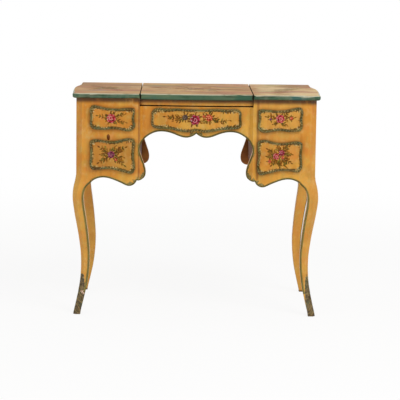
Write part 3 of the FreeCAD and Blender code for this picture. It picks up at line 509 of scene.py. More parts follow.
material, r, spot = new_recipe("top_paint")
facing = r.axes(r.node("TexCoord", {}, {}, "Normal"), "Z")[0]
top, wiped = scrubbed(r, spot)
# A pale band along the upper turn of the edge is rubbed paint and also a painted highlight.
turn = facing.step(0.3, 0.62) * facing.step(0.97, 0.86)
turn = turn * r.noise(spot, 38.0, 3.0, (0.4, 0.4, 1.0)).step(0.25, 0.5)
# The dark brown on the downward-facing lower turn of the edge is painted shade.
colour = r.coats(
    green_edge(r, spot), (top, facing.step(0.8, 0.93)), ("#d2cdb2", turn * 0.8),
    ("#4a3f1f", facing.step(-0.45, -0.8) * 0.6), (ochre(r, spot)[0], facing.step(-0.95, -0.99)))
colour, height, rough = soiled(r, spot, colour, wiped)
r.surface({"Base Color": colour, "Roughness": rough + 0.16, "Specular IOR Level": 0.1}, height)
material_of["top_paint"] = material
print("top has", len(r.tree.nodes), "nodes")

# %% [markdown]
# ## Bare wood inside
# Inside, a cabinet maker leaves the wood bare. The carcase boards were stained a red brown, and
# the drawer boxes are pale beech or poplar gone honey coloured. Grain is a noise stretched a long
# way along the board, so each board's grain direction has to be known: it runs along x in the
# shelves and bottoms and along y in the walls and drawer sides.

# %% Plane the boards
WOODS = {"inside_wood": ("#5f3518", "#7d4a22", "#3d2010"), "drawer_wood": ("#a87a48", "#c59a63", "#7d5530")}
GRAINS = {"x": (0.05, 1.0, 1.0), "y": (1.0, 0.05, 1.0)}
for slot_name, (dark, pale, pore) in WOODS.items():
    for axis, stretch in GRAINS.items():
        material, r, spot = new_recipe(slot_name + "_along_" + axis)
        figure = r.noise(spot, 34.0, 5.0, stretch, 0.6)
        pores = r.noise(spot, 480.0, 2.0, stretch)
        # Darker in the recesses, which is dirt and painted shade together.
        dirt_and_shade, rubbed = weathering(r, spot)[:2]
        colour = r.coats(
            r.mix(dark, pale, figure.step(0.38, 0.62)), (pore, pores.step(0.56, 0.7) * 0.6),
            ("#2b180c", dirt_and_shade * 0.5), (pale, rubbed * 0.5))
        rough = 0.58 + pores * 0.15 + dirt_and_shade * 0.1
        relief = figure * 0.4 - pores.step(0.55, 0.7) * 0.5
        r.surface({"Base Color": colour, "Roughness": rough, "Specular IOR Level": 0.15}, relief, 0.0003)
        material_of[slot_name, axis] = material
print("woods", [key for key in material_of if isinstance(key, tuple)])

# %% [markdown]
# ## Brass, mirror, gilt and leather
# The hinges are brass gone brown, the mirror is old glass whose silver has spots and a dull
# border, its bead was gilded over red clay, and the slide has a skin of brown leather. Each is
# one small recipe: a metal needs a high Metallic value and a stain mask, and leather needs cells.

# %% Cast, silver, gild and tan
material, r, spot = new_recipe("old_brass")
stain = r.noise(spot, 150.0, 4.0)
colour = r.mix("#a98345", "#5b431f", stain.step(0.42, 0.62))
metal = 1 - stain.step(0.5, 0.75) * 0.35
r.surface({"Base Color": colour, "Metallic": metal, "Roughness": 0.3 + stain * 0.3}, stain)
material_of["hinge_brass"] = material

material, r, spot = new_recipe("old_mirror")
low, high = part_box("mirror_glass")
middle = (low + high) / 2
size = (high - low) / 2
x, y = r.axes(spot, "XY")
inward = (size.x - abs(x - middle.x)).lesser(size.y - abs(y - middle.y))
foxed = (inward + r.noise(spot, 60.0, 4.0) * 0.03).step(0.026, 0.014)
foxed = (foxed + r.noise(spot, 210.0, 3.0).step(0.7, 0.76)).clamped()
colour = r.mix("#dfe3df", "#4b4236", foxed * 0.85)
r.surface({"Base Color": colour, "Metallic": 1 - foxed * 0.5, "Roughness": 0.04 + foxed * 0.3})
material_of["mirror"] = material

material, r, spot = new_recipe("worn_gilding")
bare = r.noise(spot, 110.0, 4.0).step(0.52, 0.64)
colour = r.mix("#c79a4a", "#7a3b24", bare)
gilt = {"Base Color": colour, "Metallic": 0.9 - bare * 0.9, "Roughness": 0.34 + bare * 0.25}
r.surface(gilt, r.noise(spot, 300.0))
material_of["bead_gilt"] = material

material, r, spot = new_recipe("brown_leather")
grain = r.node("TexVoronoi", {"feature": "DISTANCE_TO_EDGE"}, {"Vector": spot, "Scale": 520.0})
worn = r.noise(spot, 14.0, 5.0)
colour = r.mix("#4b2a17", "#6d4024", worn.step(0.4, 0.62))
colour = r.mix(colour, "#8a6038", worn.step(0.6, 0.75) * 0.6)
r.surface({"Base Color": colour, "Roughness": 0.48 + worn * 0.15}, grain.step(0.0, 0.25) + worn, 0.0003)
material_of["leather"] = material
print("small finishes", sorted(key for key in material_of if isinstance(key, str)))

# %% [markdown]
# ## Finishes onto the wooden parts
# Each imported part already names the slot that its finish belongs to. A long table of parts could
# repeat that, but reading the slot's name from the part keeps the two from drifting apart. Only
# the legs, the fronts and the grain direction need a choice of their own.

# %% Give each part its finish
ALONG_Y = ("wall", "runners", "guides", "sides", "writing_slide")


def finish_for(name, slot_name):
    if "_leg_" in name:
        return leg_material
    if slot_name == "drawer_front_paint":
        return material_of["drawer_paint"]
    if name == "slide_front":
        return material_of["slide_paint"]
    if slot_name in WOODS:
        return material_of[slot_name, "y" if any(word in name for word in ALONG_Y) else "x"]
    return material_of[slot_name]


for name, part in frame["nodes"].items():
    slot_name = part.material_slots[0].material.name.split(".")[0]
    part.material_slots[0].material = finish_for(name, slot_name)
print("finished", len(frame["nodes"]), "parts")

# %% [markdown]
# ## Finding the surface
# Paint and carving have to lie on the wood, also where a front bows forward or a leg curves. The
# height of each point could be worked out again from the plan, but a ray sent at the wood finds
# it for any shape. A canvas is one face of the table with its own left to right and bottom to
# top, and it answers where a point of a drawing lands.

# %% A canvas on the wood
REACH = 0.05


def search_tree(*objects):
    points, faces = [], []
    for item in objects:
        start = len(points)
        points += [vertex.co.copy() for vertex in item.data.vertices]
        faces += [[start + i for i in polygon.vertices] for polygon in item.data.polygons]
    return BVHTree.FromPolygons(points, faces)


class Canvas:
    """One side of the table to draw on: u to the right, v up, as the viewer of that side sees it."""

    def __init__(self, objects, origin, u=(1, 0, 0), v=(0, 0, 1)):
        self.tree = search_tree(*objects)
        self.origin = Vector(origin)
        self.u = Vector(u)
        self.v = Vector(v)
        self.look = self.v.cross(self.u)

    def place(self, u, v, depth=0.0):
        """The place in the room of a point of the drawing, moved back by a depth."""
        return self.origin + self.u * u + self.v * v + self.look * depth

    def read(self, place):
        """The u, v and depth of a place in the room."""
        return [(place - self.origin).dot(axis) for axis in (self.u, self.v, self.look)]

    def hit(self, u, v):
        """Where a ray sent along the look meets the wood, or None."""
        return self.tree.ray_cast(self.place(u, v, -REACH), self.look, 2 * REACH)[0]

    def point(self, u, v, lift=0.0):
        """The place on the wood, or the nearest one beside a hole, lifted towards the viewer."""
        place = self.hit(u, v)
        if place is None:
            place = self.tree.find_nearest(self.place(u, v))[0]
        return place - self.look * lift


# %% [markdown]
# ## A brush
# A decorative painter builds a flower from single strokes: press the brush down, pull, and lift.
# Each leaves a slip of paint that is thick in the middle and thin at its edges. An image could
# carry such strokes, but real ridges catch the light from every side. So a stroke is a narrow
# crowned shape laid along a bent line, with its own colour on each edge, and a whole spray is
# one mesh whose colours sit on its points.

# %% Make the brush
RIDGE = 0.22 * MM
LAYER = 0.07 * MM
SUNK = 0.25 * MM
COMMA_ROWS = 7
ARC_ROWS = 8


def blended(first, second, share):
    return tuple(a + (b - a) * share for a, b in zip(first, second))


def polar(u, v, angle, reach):
    """The point at some distance from another one, in a direction."""
    return u + math.cos(angle) * reach, v + math.sin(angle) * reach


class Brushwork:
    """Strokes on one canvas, gathered into one mesh with a colour at each point."""

    def __init__(self, canvas, seed):
        self.canvas = canvas
        self.dice = random.Random(seed)
        self.points = []
        self.faces = []
        self.colours = []

    def add(self, place, colour):
        self.points.append(place)
        self.colours.append(colour)

    def join(self, here, there, width):
        """Faces between two rows of points, each row closed on itself."""
        for j in range(width):
            k = (j + 1) % width
            self.faces.append((here + j, here + k, there + k, there + j))

    def cap(self, first, width):
        """A face over each end of a run of rows."""
        last = len(self.points) - width
        self.faces += [tuple(range(first + width - 1, first - 1, -1)), tuple(range(last, last + width))]

    def ribbon(self, path, widths, shades, level=1):
        """Paint along a path of (u, v) points; shades colour its left edge, middle and right edge."""
        left, middle, right = shades
        spot = self.canvas.point
        start = len(self.points)
        lift = level * LAYER
        for i, (u, v) in enumerate(path):
            before, after = path[max(i - 1, 0)], path[min(i + 1, len(path) - 1)]
            du, dv = after[0] - before[0], after[1] - before[1]
            scale = widths[i] / 2 / max(math.hypot(du, dv), 1e-9)
            self.add(spot(u - dv * scale, v + du * scale, lift), left)
            self.add(spot(u, v, lift + RIDGE), middle)
            self.add(spot(u + dv * scale, v - du * scale, lift), right)
            self.add(spot(u, v, -SUNK), middle)
            if i:
                self.join(start + 4 * i - 4, start + 4 * i, 4)
        self.cap(start, 4)

    def comma(self, u, v, angle, length, width, shades, bend=0.5, level=1, fat=(0.7, 0.8)):
        """A stroke from one point in a direction, swelling and lifting off; fat shapes its two ends."""
        peak = fat[0] / (fat[0] + fat[1])
        top = peak ** fat[0] * (1 - peak) ** fat[1]
        path, widths = [], []
        for i in range(COMMA_ROWS):
            share = i / (COMMA_ROWS - 1)
            path.append((u, v))
            swell = share ** fat[0] * (1 - share) ** fat[1] / top
            widths.append(width * max(swell, 0.08))
            u, v = polar(u, v, angle + bend * (share - 0.4), length / (COMMA_ROWS - 1))
        self.ribbon(path, widths, shades, level)

    def arc(self, u, v, radius, start, end, width, shades, level=1):
        """A stroke round a centre, from one angle to another."""
        shares = [i / (ARC_ROWS - 1) for i in range(ARC_ROWS)]
        path = [polar(u, v, start + (end - start) * share, radius) for share in shares]
        widths = [width * max(math.sin(math.pi * share) ** 0.6, 0.12) for share in shares]
        self.ribbon(path, widths, shades, level)

    def dab(self, u, v, radius, colour, edge, level=1, sides=14):
        """A round touch of the brush, domed in the middle."""
        start = len(self.points)
        phase = self.dice.uniform(0, math.tau)
        spot = self.canvas.point
        self.add(spot(u, v, level * LAYER + RIDGE), colour)
        self.add(spot(u, v, -SUNK), colour)
        for i in range(sides):
            angle = i * math.tau / sides
            wobble = radius * (1 + 0.09 * math.sin(3 * angle + phase))
            self.add(spot(*polar(u, v, angle, wobble), level * LAYER), edge)
        for i in range(sides):
            here, there = start + 2 + i, start + 2 + (i + 1) % sides
            self.faces += [(start, here, there), (start + 1, there, here)]

    def band(self, line, profile, probes, closed):
        """A moulding along a line with its wood on the left. Profile gives the rows at a point, each an
        offset and a height in millimetres and a colour; the wood's depth is read at two probe offsets."""
        canvas = self.canvas
        ahead = np.roll(line, -2, 0) - np.roll(line, 2, 0) if closed else np.gradient(line, axis=0)
        ahead /= np.linalg.norm(ahead, axis=1)[:, None]
        inward = np.stack([-ahead[:, 1], ahead[:, 0]], 1)
        first = len(self.points)
        for i, place in enumerate(line):
            probed = [canvas.point(*(place + inward[i] * probe * MM)) for probe in probes]
            near, far = [canvas.read(point)[2] for point in probed]
            slope = (far - near) / (probes[1] - probes[0])
            rows = profile(i)
            for offset, height, colour in rows:
                depth = near + slope * (offset - probes[0]) - height * MM
                self.add(canvas.place(*(place + inward[i] * offset * MM), depth), colour)
        width = len(rows)
        for i in range(len(line) if closed else len(line) - 1):
            self.join(first + i * width, first + (i + 1) % len(line) * width, width)
        if not closed:
            self.cap(first, width)
        return inward

    def finish(self, name, body, slot_name, material):
        """Turns the strokes into one object that rides on a body."""
        mesh = bpy.data.meshes.new(name)
        mesh.from_pydata(self.points, [], self.faces)
        layer = mesh.color_attributes.new("paint", "FLOAT_COLOR", "POINT")
        layer.data.foreach_set("color", np.array(self.colours, np.float32).ravel())
        mesh.shade_smooth()
        mesh.materials.append(material)
        item = bpy.data.objects.new(name, mesh)
        bpy.context.scene.collection.objects.link(item)
        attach(item, body)
        print(name, len(mesh.vertices), "points")


# %% [markdown]
# ## The paint of the details
# The flowers and rims were painted over the ochre and varnished with it, so they share its
# cracks, dirt, rubbing and painted shade in the recesses. Their own colour comes from the points
# of the mesh, and small changes of strength break it up as an unevenly loaded brush does.

# %% Mix the paint of the details
def detail_paint(name, fade, wear, under):
    """Paint whose colour lies on the mesh, worn through to another colour by the share fade."""
    material, r, spot = new_recipe(name)
    own = r.node("VertexColor", {"layer_name": "paint"}, {}, "Color")
    load = r.noise(spot, 260.0, 3.0)
    own = r.coats(own, ("#fff4d8", load.step(0.55, 0.8) * 0.1), ("#20160c", load.step(0.45, 0.2) * 0.3))
    base = under(r, spot)[0]
    gone = (r.noise(spot, 75.0, 5.0).step(0.85 - fade * 0.55, 0.95 - fade * 0.55) + fade * 0.6).clamped()
    colour, height, rough = soiled(r, spot, r.mix(own, base, gone), load, wear, 0.5)
    r.surface({"Base Color": colour, "Roughness": rough + 0.08, "Specular IOR Level": 0.12}, height, 0.0003)
    return material


relief_paint = detail_paint("relief_paint", 0.1, 0.35, ochre)
flower_paint = detail_paint("flower_paint", 0.0, 0.0, ochre)
print("detail paint", relief_paint.name)

# %% [markdown]
# ## Roses and sprigs
# The sprays are stock motifs of painted furniture: a cabbage rose of a few round petals with a
# dark heart and white lights, buds, and thin twigs with pairs of almond leaves. They could be
# drawn leaf by leaf, but the painter had a routine for each, and a routine is a function.

# %% The painter's routines
LEAF_SHADES = (
    ("#452b06", "#7a5210", "#563808"), ("#552d04", "#8a520a", "#643a05"), ("#36330b", "#6a5f18", "#4a460f"),
    ("#52300a", "#7e4c0c", "#432805"), ("#6b3d0a", "#a06616", "#7a4a0c"))
GHOST = ("#c98f35", "#e2b765", "#c98f35")
HAZE = (
    ("#9c6a1c", "#b98428", "#a06f20"), ("#8a5512", "#a66c1c", "#925c14"), ("#7c6a22", "#96842f", "#86742a"))
ROSES = {
    "pink": ("#8a1222", "#cf3440", "#ea8476", "#f8dcc8"),
    "crimson": ("#5d0a1c", "#a8142f", "#d8526a", "#f4d4d4"),
    "coral": ("#a02613", "#dc4a28", "#f08a58", "#f8d4a0"),
    "purple": ("#3d0f2c", "#82234b", "#c25a68", "#e2b9c8"),
    "slate": ("#2c201c", "#54423c", "#846c58", "#b09c80"),
}
TWIG_STEPS = 8


def shade_set(codes):
    return [tint(code) for code in codes]


def rose(brush, u, v, radius, kind):
    """A round cabbage rose: cupped outer petals, a bowl of curled lights and a dark heart."""
    dark, middle, light, white = shade_set(ROSES[kind])
    dice = brush.dice
    turn = dice.uniform(0, math.tau)
    brush.dab(u, v, radius * 0.9, middle, dark, 1)
    for i in range(6):
        angle = turn + i * math.tau / 6 + dice.uniform(-0.2, 0.2)
        place = polar(u, v, angle, radius * 0.56)
        petal = blended(middle, light, dice.uniform(0.0, 0.35))
        brush.dab(*place, radius * 0.44, petal, blended(dark, middle, 0.5), 2 + i % 2, 12)
        edge = (light, blended(light, white, 0.3), middle)
        brush.arc(*place, radius * 0.32, angle - 1.0, angle + 1.0, radius * 0.13, edge, 5)
    brush.dab(u, v, radius * 0.56, blended(middle, dark, 0.3), dark, 5)
    curl = (light, blended(light, white, 0.45), middle)
    for i, (share, width) in enumerate(((0.45, 0.2), (0.3, 0.18), (0.16, 0.14))):
        start = turn + i * 2.2
        brush.arc(u, v, radius * share, start, start + 3.4, radius * width, curl, 7 + i)
    brush.dab(u, v, radius * 0.09, dark, dark, 9, 8)
    for angle in (2.2, 3.1):
        place = polar(u, v, angle, radius * 0.62)
        brush.comma(*place, angle + 1.4, radius * 0.4, radius * 0.12, (white, white, light), 0.9, 7)


def leaf(brush, u, v, angle, length, level=1):
    shades = shade_set(brush.dice.choice(LEAF_SHADES))
    bend = brush.dice.uniform(-0.7, 0.7)
    brush.comma(u, v, angle, length, length * brush.dice.uniform(0.34, 0.46), shades, bend, level)


def sprig(brush, start, end, pairs, size, bend):
    """A twig from one point to another with pairs of leaves that get smaller to its tip."""
    du, dv = end[0] - start[0], end[1] - start[1]
    length = math.hypot(du, dv)
    heading = math.atan2(dv, du)
    path = []
    for i in range(TWIG_STEPS + 1):
        share = i / TWIG_STEPS
        sag = math.sin(math.pi * share) * bend * length * 0.5
        path.append(polar(*blended(start, end, share), heading + math.pi / 2, sag))
    widths = [size * 0.16 * (1.25 - i / len(path)) for i in range(len(path))]
    brush.ribbon(path, widths, [tint("#372908")] * 3, 0)
    for i in range(pairs):
        share = (i + 0.7) / (pairs + 0.4)
        at = path[int(share * TWIG_STEPS)]
        here = size * (1.1 - 0.55 * share)
        for side in (1, -1):
            away = heading + side * brush.dice.uniform(0.55, 1.0)
            leaf(brush, *at, away, here * brush.dice.uniform(0.85, 1.15))
        haze = shade_set(brush.dice.choice(HAZE))
        brush.comma(*at, heading + brush.dice.uniform(-1.3, 1.3), here * 1.3, here * 0.4, haze, 0.5, 0)
    leaf(brush, *path[-1], heading + bend, size * 0.7)


def ruff(brush, u, v, radius, size, count):
    """Leaves that peep out from under a flower, all round it."""
    for i in range(count):
        angle = i * math.tau / count + brush.dice.uniform(-0.25, 0.25)
        place = polar(u, v, angle, radius * 0.75)
        leaf(brush, *place, angle + brush.dice.uniform(-0.3, 0.3), size * brush.dice.uniform(0.75, 1.2), 0)
        between = angle + math.pi / count
        place = polar(u, v, between, radius * 1.05)
        length = size * brush.dice.uniform(0.6, 1.1)
        brush.comma(*place, between, length, size * 0.16, shade_set(GHOST), 0.5, 0)


def paint_spray(brush, plan, leaves_of, middle=(0.0, 0.0), scale=1.0, bend=None):
    """A whole spray: twigs, then the leaves under each flower, then the flowers. The plan is in
    millimetres from the middle; leaves_of gives the size and number of leaves for a radius."""
    def placed(u, v):
        return u * MM + middle[0], v * MM + middle[1]

    for start, end, pairs, size in plan["sprigs"]:
        sag = brush.dice.uniform(-0.3, 0.3) if bend is None else bend
        sprig(brush, placed(*start), placed(*end), pairs, size * scale * MM, sag)
    for u, v, radius, kind in plan["roses"]:
        size, count = leaves_of(radius)
        ruff(brush, *placed(u, v), radius * MM, size * scale * MM, count)
    for u, v, radius, kind in plan["roses"]:
        rose(brush, *placed(u, v), radius * MM, kind)


# %% [markdown]
# ## Five painted fronts
# Every front has its own spray, a little off the middle, as a free hand places it. The upper ones
# have one big rose with short sprigs, the lower ones a looser cross of twigs, and the wide centre
# front has three flowers in a row, with buds between. A rose has its place and radius, a sprig
# its two ends, its pairs of leaves and their size, all in millimetres from the front's middle.

# %% Plan the sprays
SPRAYS = {
    "upper_left": {
        "roses": [(-4, -1, 16.5, "pink")],
        "sprigs": [((-13, -1), (-48, 7), 3, 10), ((12, 3), (40, 12), 3, 10), ((12, -5), (43, -13), 3, 10)],
        "leaves": 10,
    },
    "lower_left": {
        "roses": [(-4, 4, 12.5, "purple"), (12, -13, 5, "coral")],
        "sprigs": [((-10, 8), (-42, 27), 4, 13), ((6, 10), (41, 27), 4, 13), ((-10, -2), (-44, -22), 4, 12),
                   ((6, -4), (38, -31), 4, 13), ((8, 2), (36, -4), 3, 10), ((-2, 12), (10, 30), 2, 10),
                   ((-12, 4), (-38, 4), 3, 9)],
        "leaves": 10,
    },
    "centre": {
        "roses": [(-38, 10, 10, "slate"), (-5, 2, 18, "crimson"), (42, 9, 12.5, "coral"),
                  (24, 14, 5, "coral")],
        "sprigs": [((-47, 8), (-103, 12), 5, 12), ((-44, 2), (-74, -2), 2, 11), ((52, 6), (110, 2), 5, 11),
                   ((16, 0), (32, -8), 2, 9), ((-24, 14), (-14, 20), 1, 8)],
        "leaves": 12,
    },
    "upper_right": {
        "roses": [(-1, 4, 15.5, "pink"), (36, 6, 6.5, "coral"), (-33, 2, 4.5, "purple")],
        "sprigs": [((-12, 6), (-46, 9), 3, 10), ((10, 10), (26, 24), 2, 10), ((12, 2), (46, 8), 3, 10),
                   ((6, -10), (20, -18), 2, 9), ((-8, -8), (-22, -13), 2, 9)],
        "leaves": 10,
    },
    "lower_right": {
        "roses": [(6, 16, 10.5, "crimson"), (-12, 4, 11.5, "pink"), (-34, -13, 6, "coral"),
                  (10, 0, 6, "coral")],
        "sprigs": [((8, 22), (28, 36), 4, 12), ((-14, 12), (-38, 28), 4, 12), ((10, -2), (36, -16), 4, 12),
                   ((0, -6), (0, -28), 4, 12), ((-20, 2), (-40, 4), 3, 11), ((14, 14), (38, 12), 3, 11),
                   ((-8, -4), (-24, -24), 4, 12), ((-2, 22), (-8, 36), 2, 10), ((6, -6), (18, -28), 3, 11)],
        "leaves": 14,
    },
}
FRONTS = {
    "upper_left": ("upper_drawer_front_left", "upper_left_drawer"),
    "lower_left": ("lower_drawer_front_left", "lower_left_drawer"),
    "centre": ("centre_drawer_front", "centre_drawer"),
    "upper_right": ("upper_drawer_front_right", "upper_right_drawer"),
    "lower_right": ("lower_drawer_front_right", "lower_right_drawer"),
}

canvases = {}
for place, (node, body) in FRONTS.items():
    low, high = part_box(node)
    canvases[place] = Canvas([frame["nodes"][node]], ((low.x + high.x) / 2, low.y, (low.z + high.z) / 2))
print("canvases", list(canvases))

# %% Paint the sprays
LEAF_SIZE = 1.2
BIG_ROSE = 9


def front_leaves(count):
    """The rule for a front: so many long leaves under a big rose, and four short ones under a bud."""
    return lambda radius: (11, count) if radius > BIG_ROSE else (7, 4)


for seed, (place, plan) in enumerate(SPRAYS.items()):
    brush = Brushwork(canvases[place], 40 + seed)
    paint_spray(brush, plan, front_leaves(plan["leaves"]), scale=LEAF_SIZE)
    body = FRONTS[place][1]
    brush.finish("spray_" + place, body, "drawer_front_paint", flower_paint)

# %% [markdown]
# ## Carved rims
# Each front is framed by a raised border in the rocaille taste: hollows like the flutes of a
# shell run aslant round it, and its inner edge is scalloped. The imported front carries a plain
# raised rim. The carving lies over that rim, following its outline, so first the outline is read
# from the part's own faces, and then a profile with many points is swept along it.

# %% Read the outline of a front
def loops_of(mesh, facing, least=0.7):
    """The edges round the faces that look one way, as closed or open runs of points."""
    work = bmesh.new()
    work.from_mesh(mesh)
    bmesh.ops.remove_doubles(work, verts=work.verts, dist=1e-6)
    work.normal_update()
    chosen = {face for face in work.faces if face.normal.dot(facing) > least}
    neighbours = {}
    for edge in work.edges:
        if sum(face in chosen for face in edge.link_faces) == 1:
            for here, there in (edge.verts, reversed(edge.verts)):
                neighbours.setdefault(here, []).append(there)
    runs, seen = [], set()
    for first in neighbours:
        if first in seen:
            continue
        run = [first]
        seen.add(first)
        while True:
            onward = [vertex for vertex in neighbours[run[-1]] if vertex not in seen]
            if not onward:
                break
            run.append(onward[0])
            seen.add(onward[0])
        runs.append([vertex.co.copy() for vertex in run])
    work.free()
    return runs


def even(points, count, closed=True):
    """The same line with its points evenly spaced, and its length."""
    line = np.array([tuple(point) for point in points])
    if closed:
        line = np.vstack([line, line[:1]])
    along = np.concatenate([[0.0], np.cumsum(np.linalg.norm(np.diff(line, axis=0), axis=1))])
    marks = np.linspace(0.0, along[-1], count + 1)[:count] if closed else np.linspace(0.0, along[-1], count)
    return np.stack([np.interp(marks, along, line[:, k]) for k in range(line.shape[1])], 1), along[-1]


runs = loops_of(frame["nodes"]["upper_drawer_front_left"].data, Vector((0, -1, 0)))
print("upper front has", len(runs), "outlines,", [round(even(run, 200)[1] / MM) for run in runs], "mm round")

# %% Carve the rims
RIM_OFFSETS = (-0.2, 0.3, 1.1, 2.2, 3.4, 4.6, 5.8, 6.8, 7.5, 8.3)
RIM_HEIGHTS = (-2.2, 2.65, 3.15, 3.3, 2.85, 2.7, 2.95, 2.8, 1.7, -0.2)
RIM_PROBES = (9.5, 13.0)
RIM_STEP = 0.9 * MM
FLUTE_STEP = 4.6 * MM
LOBE = 24 * MM
RIM_COLOURS = {
    "dark": tint("#2a240e"), "sage": tint("#7f7c48"), "cream": tint("#dcb862"), "brown": tint("#41290b"),
    "white": tint("#efe3b8")}
RIM_GREENS = shade_set((
    "#4f6a4a", "#5c5318", "#3f4a22", "#75653c", "#4c3410", "#55683f", "#6a5a20", "#3b3a14"))


def rim_colour(share, flute, shell, light, green, dice):
    """Colour across the rim: dark outside, green on the crown, lights and dark dashes inside."""
    c = RIM_COLOURS
    if share < 0.16:
        return blended(c["dark"], green, 0.3)
    if share < 0.42:
        return blended(green, c["sage"], max(0.0, light) * 0.7)
    if share < 0.75:
        deep = blended(c["dark"], green, 0.4)
        return blended(deep, c["sage"], shell * flute * 0.8 + (1 - shell) * (0.2 + 0.3 * light))
    inner = blended(c["cream"], c["white"], dice.random() * 0.4) if light > 0.25 else green
    return blended(c["brown"], inner, flute if shell > 0.4 else 0.7)


def green_at(turn):
    """The green that the painter's brush held at one place round a rim."""
    place = turn % 1.0 * len(RIM_GREENS)
    k = int(place)
    return blended(RIM_GREENS[k], RIM_GREENS[(k + 1) % len(RIM_GREENS)], place - k)


def widest(runs):
    """The outermost of several outlines."""
    return max(runs, key=lambda run: max(point.x for point in run) - min(point.x for point in run))


def limited(value):
    return min(max(value, 0.0), 1.0)


def cornerness(line):
    """For each point of an outline, how near it is to a corner: 1 there, 0 half way along a side."""
    away = abs(line - line.mean(0))
    return (away / away.max(0)).min(1)


def carve_rim(place, seed):
    """Sweeps the carved profile round a front; returns its line, the inward directions and the dice."""
    node, body = FRONTS[place]
    canvas = canvases[place]
    loop = widest(loops_of(frame["nodes"][node].data, Vector((0, -1, 0))))
    outline = [canvas.read(point)[:2] for point in loop]
    area = sum(a[0] * b[1] - b[0] * a[1] for a, b in zip(outline[-1:] + outline, outline))
    if area < 0:
        outline.reverse()
    length = even(outline, 10)[1]
    count = int(length / RIM_STEP)
    line = even(outline, count)[0]
    near = cornerness(line)
    dice = random.Random(seed)
    phases = [dice.uniform(0, math.tau) for _ in range(4)]
    lobes = round(length / LOBE)

    def profile(i):
        s = i / count * math.tau
        shell = limited(0.5 + 1.1 * math.sin(4 * s + phases[0]) + 0.5 * math.sin(7 * s + phases[1]))
        light = math.sin(5 * s + phases[2]) * 0.6 + math.sin(11 * s + phases[3]) * 0.5
        scallop = abs(math.sin(s * lobes + 0.6 * math.sin(5 * s))) * 2.5 * (0.35 + 0.65 * shell)
        corner = limited(near[i] * 2.2 - 0.9)
        green = green_at(i / count * 2 + 0.25 * math.sin(3 * s + phases[1]) + phases[3] / math.tau)
        rows = []
        for j, (offset, height) in enumerate(zip(RIM_OFFSETS, RIM_HEIGHTS)):
            share = j / (len(RIM_OFFSETS) - 1)
            flute = 0.5 + 0.5 * math.cos(i * RIM_STEP / (2 * FLUTE_STEP) * math.tau + share * 4.5)
            offset += (scallop + 1.6 * corner) * (share - 0.6) / 0.4 if share > 0.6 else 0.0
            height += 0.55 * shell * (flute - 0.35) if 0.15 < share < 0.85 else 0.0
            rows.append((offset, height, rim_colour(share, flute, shell, light, green, dice)))
        return rows

    brush = Brushwork(canvas, seed)
    inward = brush.band(line, profile, RIM_PROBES, True)
    brush.finish("rim_" + place, body, "drawer_front_paint", relief_paint)
    return line, inward, dice


rims = {place: carve_rim(place, 70 + seed) for seed, place in enumerate(FRONTS)}

# %% Paint the flutes
FLUTE_SHADES = [shade_set(codes) for codes in (
    ("#211f0b", "#302f14", "#1a190a"), ("#66734f", "#8f9670", "#565c35"),
    ("#251d08", "#3a2c0e", "#1d1607"), ("#8e8048", "#c4ad70", "#6f6230"))]

for seed, (place, (line, inward, dice)) in enumerate(rims.items()):
    node, body = FRONTS[place]
    carved = Canvas([frame["nodes"][node], bpy.data.objects["rim_" + place]], canvases[place].origin)
    brush = Brushwork(carved, 120 + seed)
    count = len(line)
    strokes = int(count * RIM_STEP / FLUTE_STEP)
    swing = [dice.uniform(0, math.tau) for _ in range(2)]
    for k in range(strokes):
        i = int((k + dice.uniform(-0.3, 0.3)) * count / strokes)
        s = k / strokes * math.tau
        if math.sin(5 * s + swing[1]) + math.sin(8 * s + swing[0]) < -0.9:
            continue
        shell = math.sin(4 * s + swing[0]) + 0.6 * math.sin(9 * s + swing[1]) > -0.5
        offset = dice.uniform(0.8, 2.0) if shell else dice.uniform(1.5, 4.5)
        at = line[i] + inward[i] * offset * MM
        lean = dice.uniform(0.55, 0.85) if shell else dice.uniform(1.1, 1.4)
        heading = math.atan2(inward[i][1], inward[i][0]) - lean
        size = dice.uniform(7.0, 9.5) if shell else dice.uniform(8.0, 13.0)
        width = (3.3, 2.2)[k % 2] if shell else (2.0, 1.2)[k % 2]
        width *= dice.uniform(0.75, 1.15)
        shades = FLUTE_SHADES[k % 2 + 2 * (math.sin(3 * s + swing[1]) > 0.2)]
        brush.comma(*at, heading, size * MM, width * MM, shades, 0.6, 1 + k % 2)
    brush.finish("flutes_" + place, body, "drawer_front_paint", relief_paint)

# %% [markdown]
# ## Lights and dashes inside the rims
# Inside the carving the painter set short strokes that point to the middle: cream lights where
# the scroll turns, dark dashes between them, most of them near the corners. They tie the green
# border to the ochre ground.

# %% Set the dashes
DASH_SHADES = [shade_set(codes) for codes in (
    ("#d2b25c", "#e6cc80", "#c49a45"), ("#3a2408", "#57380f", "#2d1c07"),
    ("#dcb86a", "#f0dfa6", "#b98a42"), ("#33270c", "#4e4416", "#2b240b"))]

for seed, (place, (line, inward, dice)) in enumerate(rims.items()):
    brush = Brushwork(canvases[place], 90 + seed)
    near = cornerness(line)
    i = 0
    while i < len(line):
        near_corner = near[i] > 0.62
        i += dice.randint(3, 6) if near_corner else dice.randint(9, 26)
        way = inward[i % len(line)]
        at = line[i % len(line)] + way * dice.uniform(8.3, 9.6) * MM
        angle = math.atan2(way[1], way[0]) + dice.uniform(-0.7, 0.7)
        shades = dice.choice(DASH_SHADES)
        size = dice.uniform(5.0, 9.0) * MM if near_corner else dice.uniform(3.5, 5.5) * MM
        brush.comma(*at, angle, size, size * 0.4, shades, dice.uniform(-0.9, 0.9), 1)
    brush.finish("dashes_" + place, FRONTS[place][1], "drawer_front_paint", relief_paint)

# %% [markdown]
# ## The green edge of the apron
# A narrow raised line follows the whole lower edge, from one shoe up the leg, along the apron and
# round the kneehole. It was laid on with thick dark green, and its outer corner is rubbed pale.
# It has to meet every board exactly, so its path is read from the boards: an edge counts when
# there is wood on one side of it and none on the other. The sides carry the same line.

# %% Find the lower edge
TOUCH = 0.8 * MM
NEAR = 3.0 * MM
LINK = 5.0 * MM


